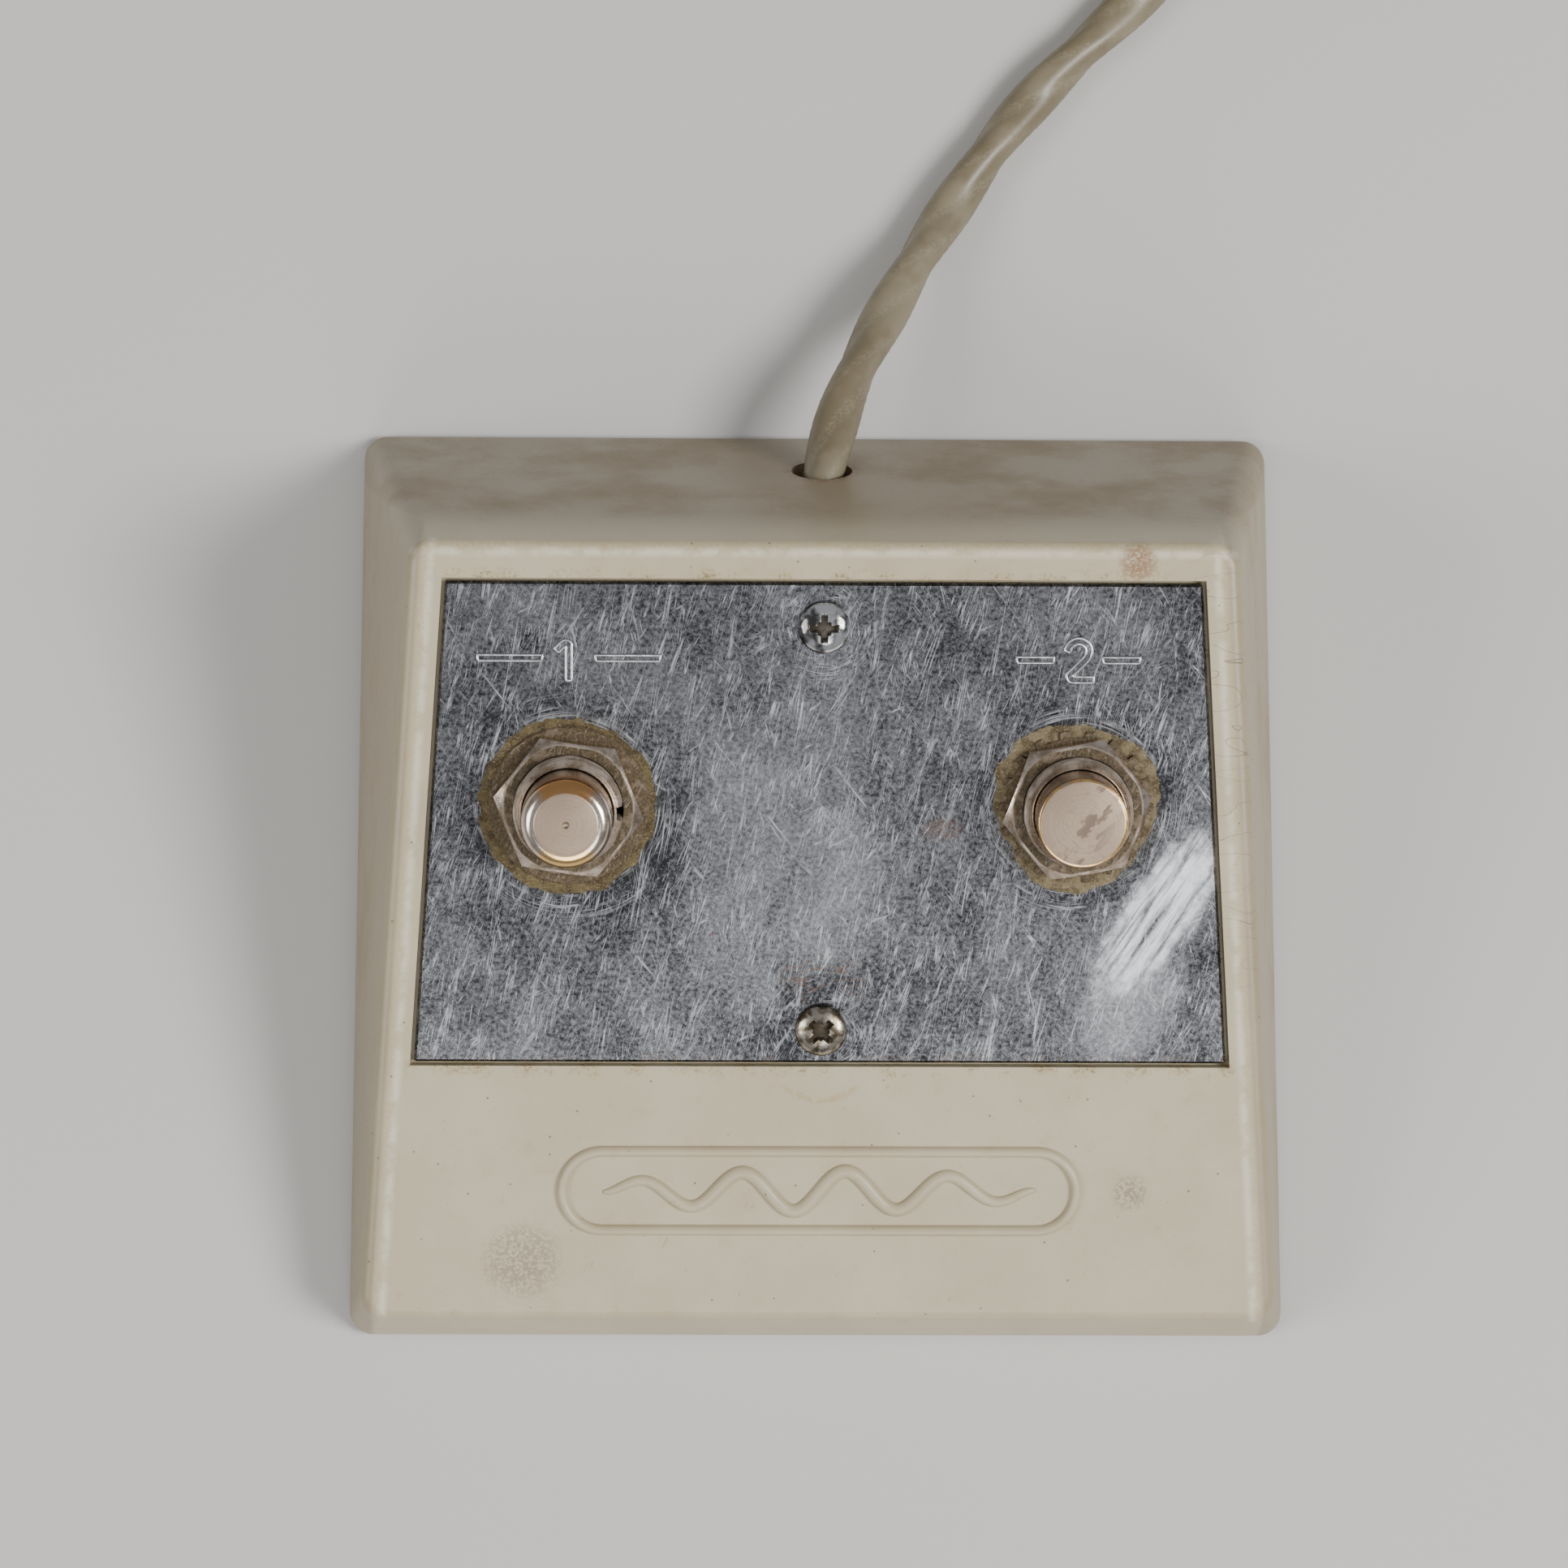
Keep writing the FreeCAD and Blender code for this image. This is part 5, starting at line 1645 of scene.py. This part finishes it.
@dataclass
class Emblem:
    """A generic raised mark on the front land: a rounded bar with a wave inside."""

    seat: Seat
    middle: float = -43.4
    length: float = 57.0
    width: float = 9.0
    land: float = 0.12

    def build(self, plastic: bpy.types.Material) -> None:
        """An outer ring and an inner wave, both low ridges.

        Args:
            plastic: The housing's own finish.
        """
        radius = self.width / 2
        straight = self.length / 2 - radius
        right = np.radians(np.linspace(-90.0, 90.0, 40))
        left = np.radians(np.linspace(90.0, 270.0, 40))
        ring = np.vstack([
            np.stack([straight + radius * np.cos(right), radius * np.sin(right)], axis=1),
            np.stack([-straight + radius * np.cos(left), radius * np.sin(left)], axis=1)])
        flat = np.column_stack([ring + [0.0, self.middle], np.full(len(ring), self.land)])
        outer = ridge("emblem_ring", dense(flat, 0.4), self.seat, 0.6, 0.8, True)
        settle(outer, plastic)
        x = np.linspace(-straight, straight, 260)
        fade = np.sin(np.pi * (x + straight) / (2 * straight)) ** 0.5
        y = 2.3 * fade * np.sin(2.0 * np.pi * x / 11.5)
        wave = np.column_stack([x, y + self.middle, np.full_like(x, self.land)])
        settle(ridge("emblem_wave", wave, self.seat, 0.8, 0.8, False), plastic)


@dataclass
class Shell:
    """Housing, plate, screws, cover, feet and the hidden works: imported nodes, dressed.

    The works are pairs of how the nodes' names start and their finish.
    """

    frames: Frames
    works: tuple[tuple[tuple[str, ...], PlainFinish], ...] = (
        (("foot_screws",), PlainFinish(
            "dull_screw", (0.48, 0.44, 0.38), (0.16, 0.125, 0.085), metallic=1.0,
            roughness=0.36, scale=1100.0, depth=0.00005)),
        (("base_cover", "left_switch_case", "right_switch_case", "cord_clip"), PlainFinish(
            "zinc_sheet", (0.52, 0.52, 0.50), (0.36, 0.36, 0.34), metallic=1.0,
            roughness=0.42, scale=160.0)),
        (("left_contact_block", "right_contact_block", "left_rotor", "right_rotor"), PlainFinish(
            "brown_phenolic", (0.12, 0.06, 0.03), (0.07, 0.035, 0.018))),
        (("left_terminals", "right_terminals"), PlainFinish(
            "lug_brass", (0.66, 0.47, 0.20), (0.40, 0.27, 0.11), metallic=1.0, roughness=0.3)),
        (("solder_joints",), PlainFinish(
            "solder", (0.58, 0.58, 0.60), (0.40, 0.40, 0.42), metallic=1.0, roughness=0.3)),
        (("rubber_foot",), PlainFinish(
            "foot_rubber", (0.028, 0.027, 0.026), (0.045, 0.042, 0.038), roughness=0.75,
            scale=400.0, depth=0.00005)),
        (("left_signal_wire",), PlainFinish(
            "red_vinyl", (0.42, 0.03, 0.02), (0.294, 0.021, 0.014), roughness=0.35)),
        (("common_wire",), PlainFinish(
            "white_vinyl", (0.62, 0.60, 0.54), (0.434, 0.42, 0.378), roughness=0.35)),
        (("right_signal_wire",), PlainFinish(
            "black_vinyl", (0.03, 0.03, 0.03), (0.021, 0.021, 0.021), roughness=0.35)),
        (("switch_link_wire",), PlainFinish(
            "black_link_vinyl", (0.035, 0.035, 0.035), (0.0245, 0.0245, 0.0245),
            roughness=0.35)))

    def build(self, nodes: dict[str, bpy.types.Object]) -> bpy.types.Material:
        """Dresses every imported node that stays.

        Args:
            nodes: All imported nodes.

        Returns:
            The housing's finish.
        """
        plastic = HousingPlastic().build(self.frames.plate)
        dress(("housing",), plastic, nodes)
        dress(("top_plate",), ScratchedChrome().build(self.frames.plate), nodes)
        # The bright screw's light and dark colours are painted reflections, its recess painted shade
        # with dirt.
        bright = ScrewMetal("bright_screw", (0.90, 0.90, 0.90), (0.13, 0.125, 0.12),
                            roughness=0.08, scale=0.55)
        aged = ScrewMetal("aged_screw", (0.50, 0.45, 0.37), (0.13, 0.105, 0.07),
                          roughness=0.22, scale=0.9)
        for name, up, turn, metal in (("back", SCREW_BACK, 0.0, bright),
                                      ("front", SCREW_FRONT, 45.0, aged)):
            seat = Seat(Vector(self.frames.plate.lay(np.array([0.0, up, 0.0]))),
                        self.frames.plate.turn)
            Screw(f"{name}_screw", f"plate_screw_{name}", seat, turn).build(metal)
        for starts, finish in self.works:
            names = [name for name in nodes if name.startswith(starts)]
            dress(names, finish.build(), nodes)
        return plastic


# ---------------------------------------------------------------- studio

@dataclass
class Studio:
    """Floor, soft lights and the camera."""

    camera_at: Triple = (-0.01385, -0.0869, 0.5282)
    focal_share: float = 5706.5 / 1932.0
    sensor: float = 36.0
    floor_half: float = 3.0

    def camera(self) -> None:
        """The camera looks down and a little forward."""
        lens = bpy.data.cameras.new("camera")
        lens.sensor_width = self.sensor
        lens.lens = self.focal_share * self.sensor
        lens.clip_start = 0.01
        turn = (Matrix.Rotation(0.184, 4, "X") @ Matrix.Rotation(-0.019, 4, "Y")
                @ Matrix.Rotation(0.004, 4, "Z"))
        holder = bpy.data.objects.new("camera", lens)
        holder.matrix_world = Matrix.Translation(self.camera_at) @ turn
        bpy.context.scene.collection.objects.link(holder)
        bpy.context.scene.camera = holder

    def floor(self) -> None:
        """A plain pale floor."""
        edge = self.floor_half
        mesh = bpy.data.meshes.new("floor")
        mesh.from_pydata([(-edge, -edge, 0), (edge, -edge, 0), (edge, edge, 0),
                          (-edge, edge, 0)], [], [(0, 1, 2, 3)])
        thing = bpy.data.objects.new("floor", mesh)
        bpy.context.scene.collection.objects.link(thing)
        tree = Tree("pale_floor")
        mesh.materials.append(tree.finish(Base_Color=(0.62, 0.60, 0.57), Roughness=0.75))
        thing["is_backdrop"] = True

    def light(self, name: str, place: Triple, aim: Triple, size: float, power: float,
              colour: Colour = (1.0, 1.0, 1.0)) -> None:
        """One square soft light.

        Args:
            name: Its name.
            place: Where it is, in metres.
            aim: The point that it faces.
            size: Its side.
            power: Its power in watts.
            colour: Its colour.
        """
        lamp = bpy.data.lights.new(name, "AREA")
        lamp.size = size
        lamp.energy = power
        lamp.color = colour
        holder = bpy.data.objects.new(name, lamp)
        away = Vector(place) - Vector(aim)
        holder.matrix_world = Matrix.Translation(place) @ away.to_track_quat("Z", "Y").to_matrix(
            ).to_4x4()
        bpy.context.scene.collection.objects.link(holder)

    def build(self) -> None:
        """Sets up everything that isn't the object."""
        self.floor()
        self.light("right_key", (0.85, -0.25, 1.05), (0.0, 0.0, 0.02), 0.45, 17.0)
        self.light("left_fill", (-1.0, -0.35, 0.85), (0.0, 0.0, 0.02), 0.6, 7.5)
        self.light("front_fill", (0.05, -1.15, 1.15), (0.0, 0.0, 0.02), 0.6, 6.0)
        world = bpy.data.worlds.new("studio")
        world.use_nodes = True
        world.node_tree.nodes["Background"].inputs[0].default_value = (0.80, 0.82, 0.86, 1.0)
        world.node_tree.nodes["Background"].inputs[1].default_value = 0.36
        bpy.context.scene.world = world


def corners() -> list[list[float]]:
    """The whole object's lowest and highest corners."""
    return [[float(part) for part in corner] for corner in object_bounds()]


def main() -> None:
    """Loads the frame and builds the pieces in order."""
    logging.basicConfig(level=logging.INFO, format="%(message)s")
    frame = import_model()
    nodes = frame["nodes"]
    studio = Studio()
    studio.camera()
    Cord().build(Plug().build(nodes))
    frames = Frames(frame["record"])
    plastic = Shell(frames).build(nodes)
    Switch(Side.LEFT, frames.switches["left"], bushing_top=5.6, button_top=12.3,
           flat_radius=3.4, shoulder=1.5, keyed=True, grime_radius=9.75, nut_turn=-8.0,
           seed=11).build(nodes)
    Switch(Side.RIGHT, frames.switches["right"], bushing_top=5.1, button_top=10.2,
           flat_radius=4.5, shoulder=0.45, keyed=False, grime_radius=9.15, nut_turn=10.0,
           seed=29).build(nodes)
    PlateMarks(frames.plate, frames.spread).build()
    Emblem(frames.plate).build(plastic)
    studio.build()


if __name__ == "__main__":
    main()
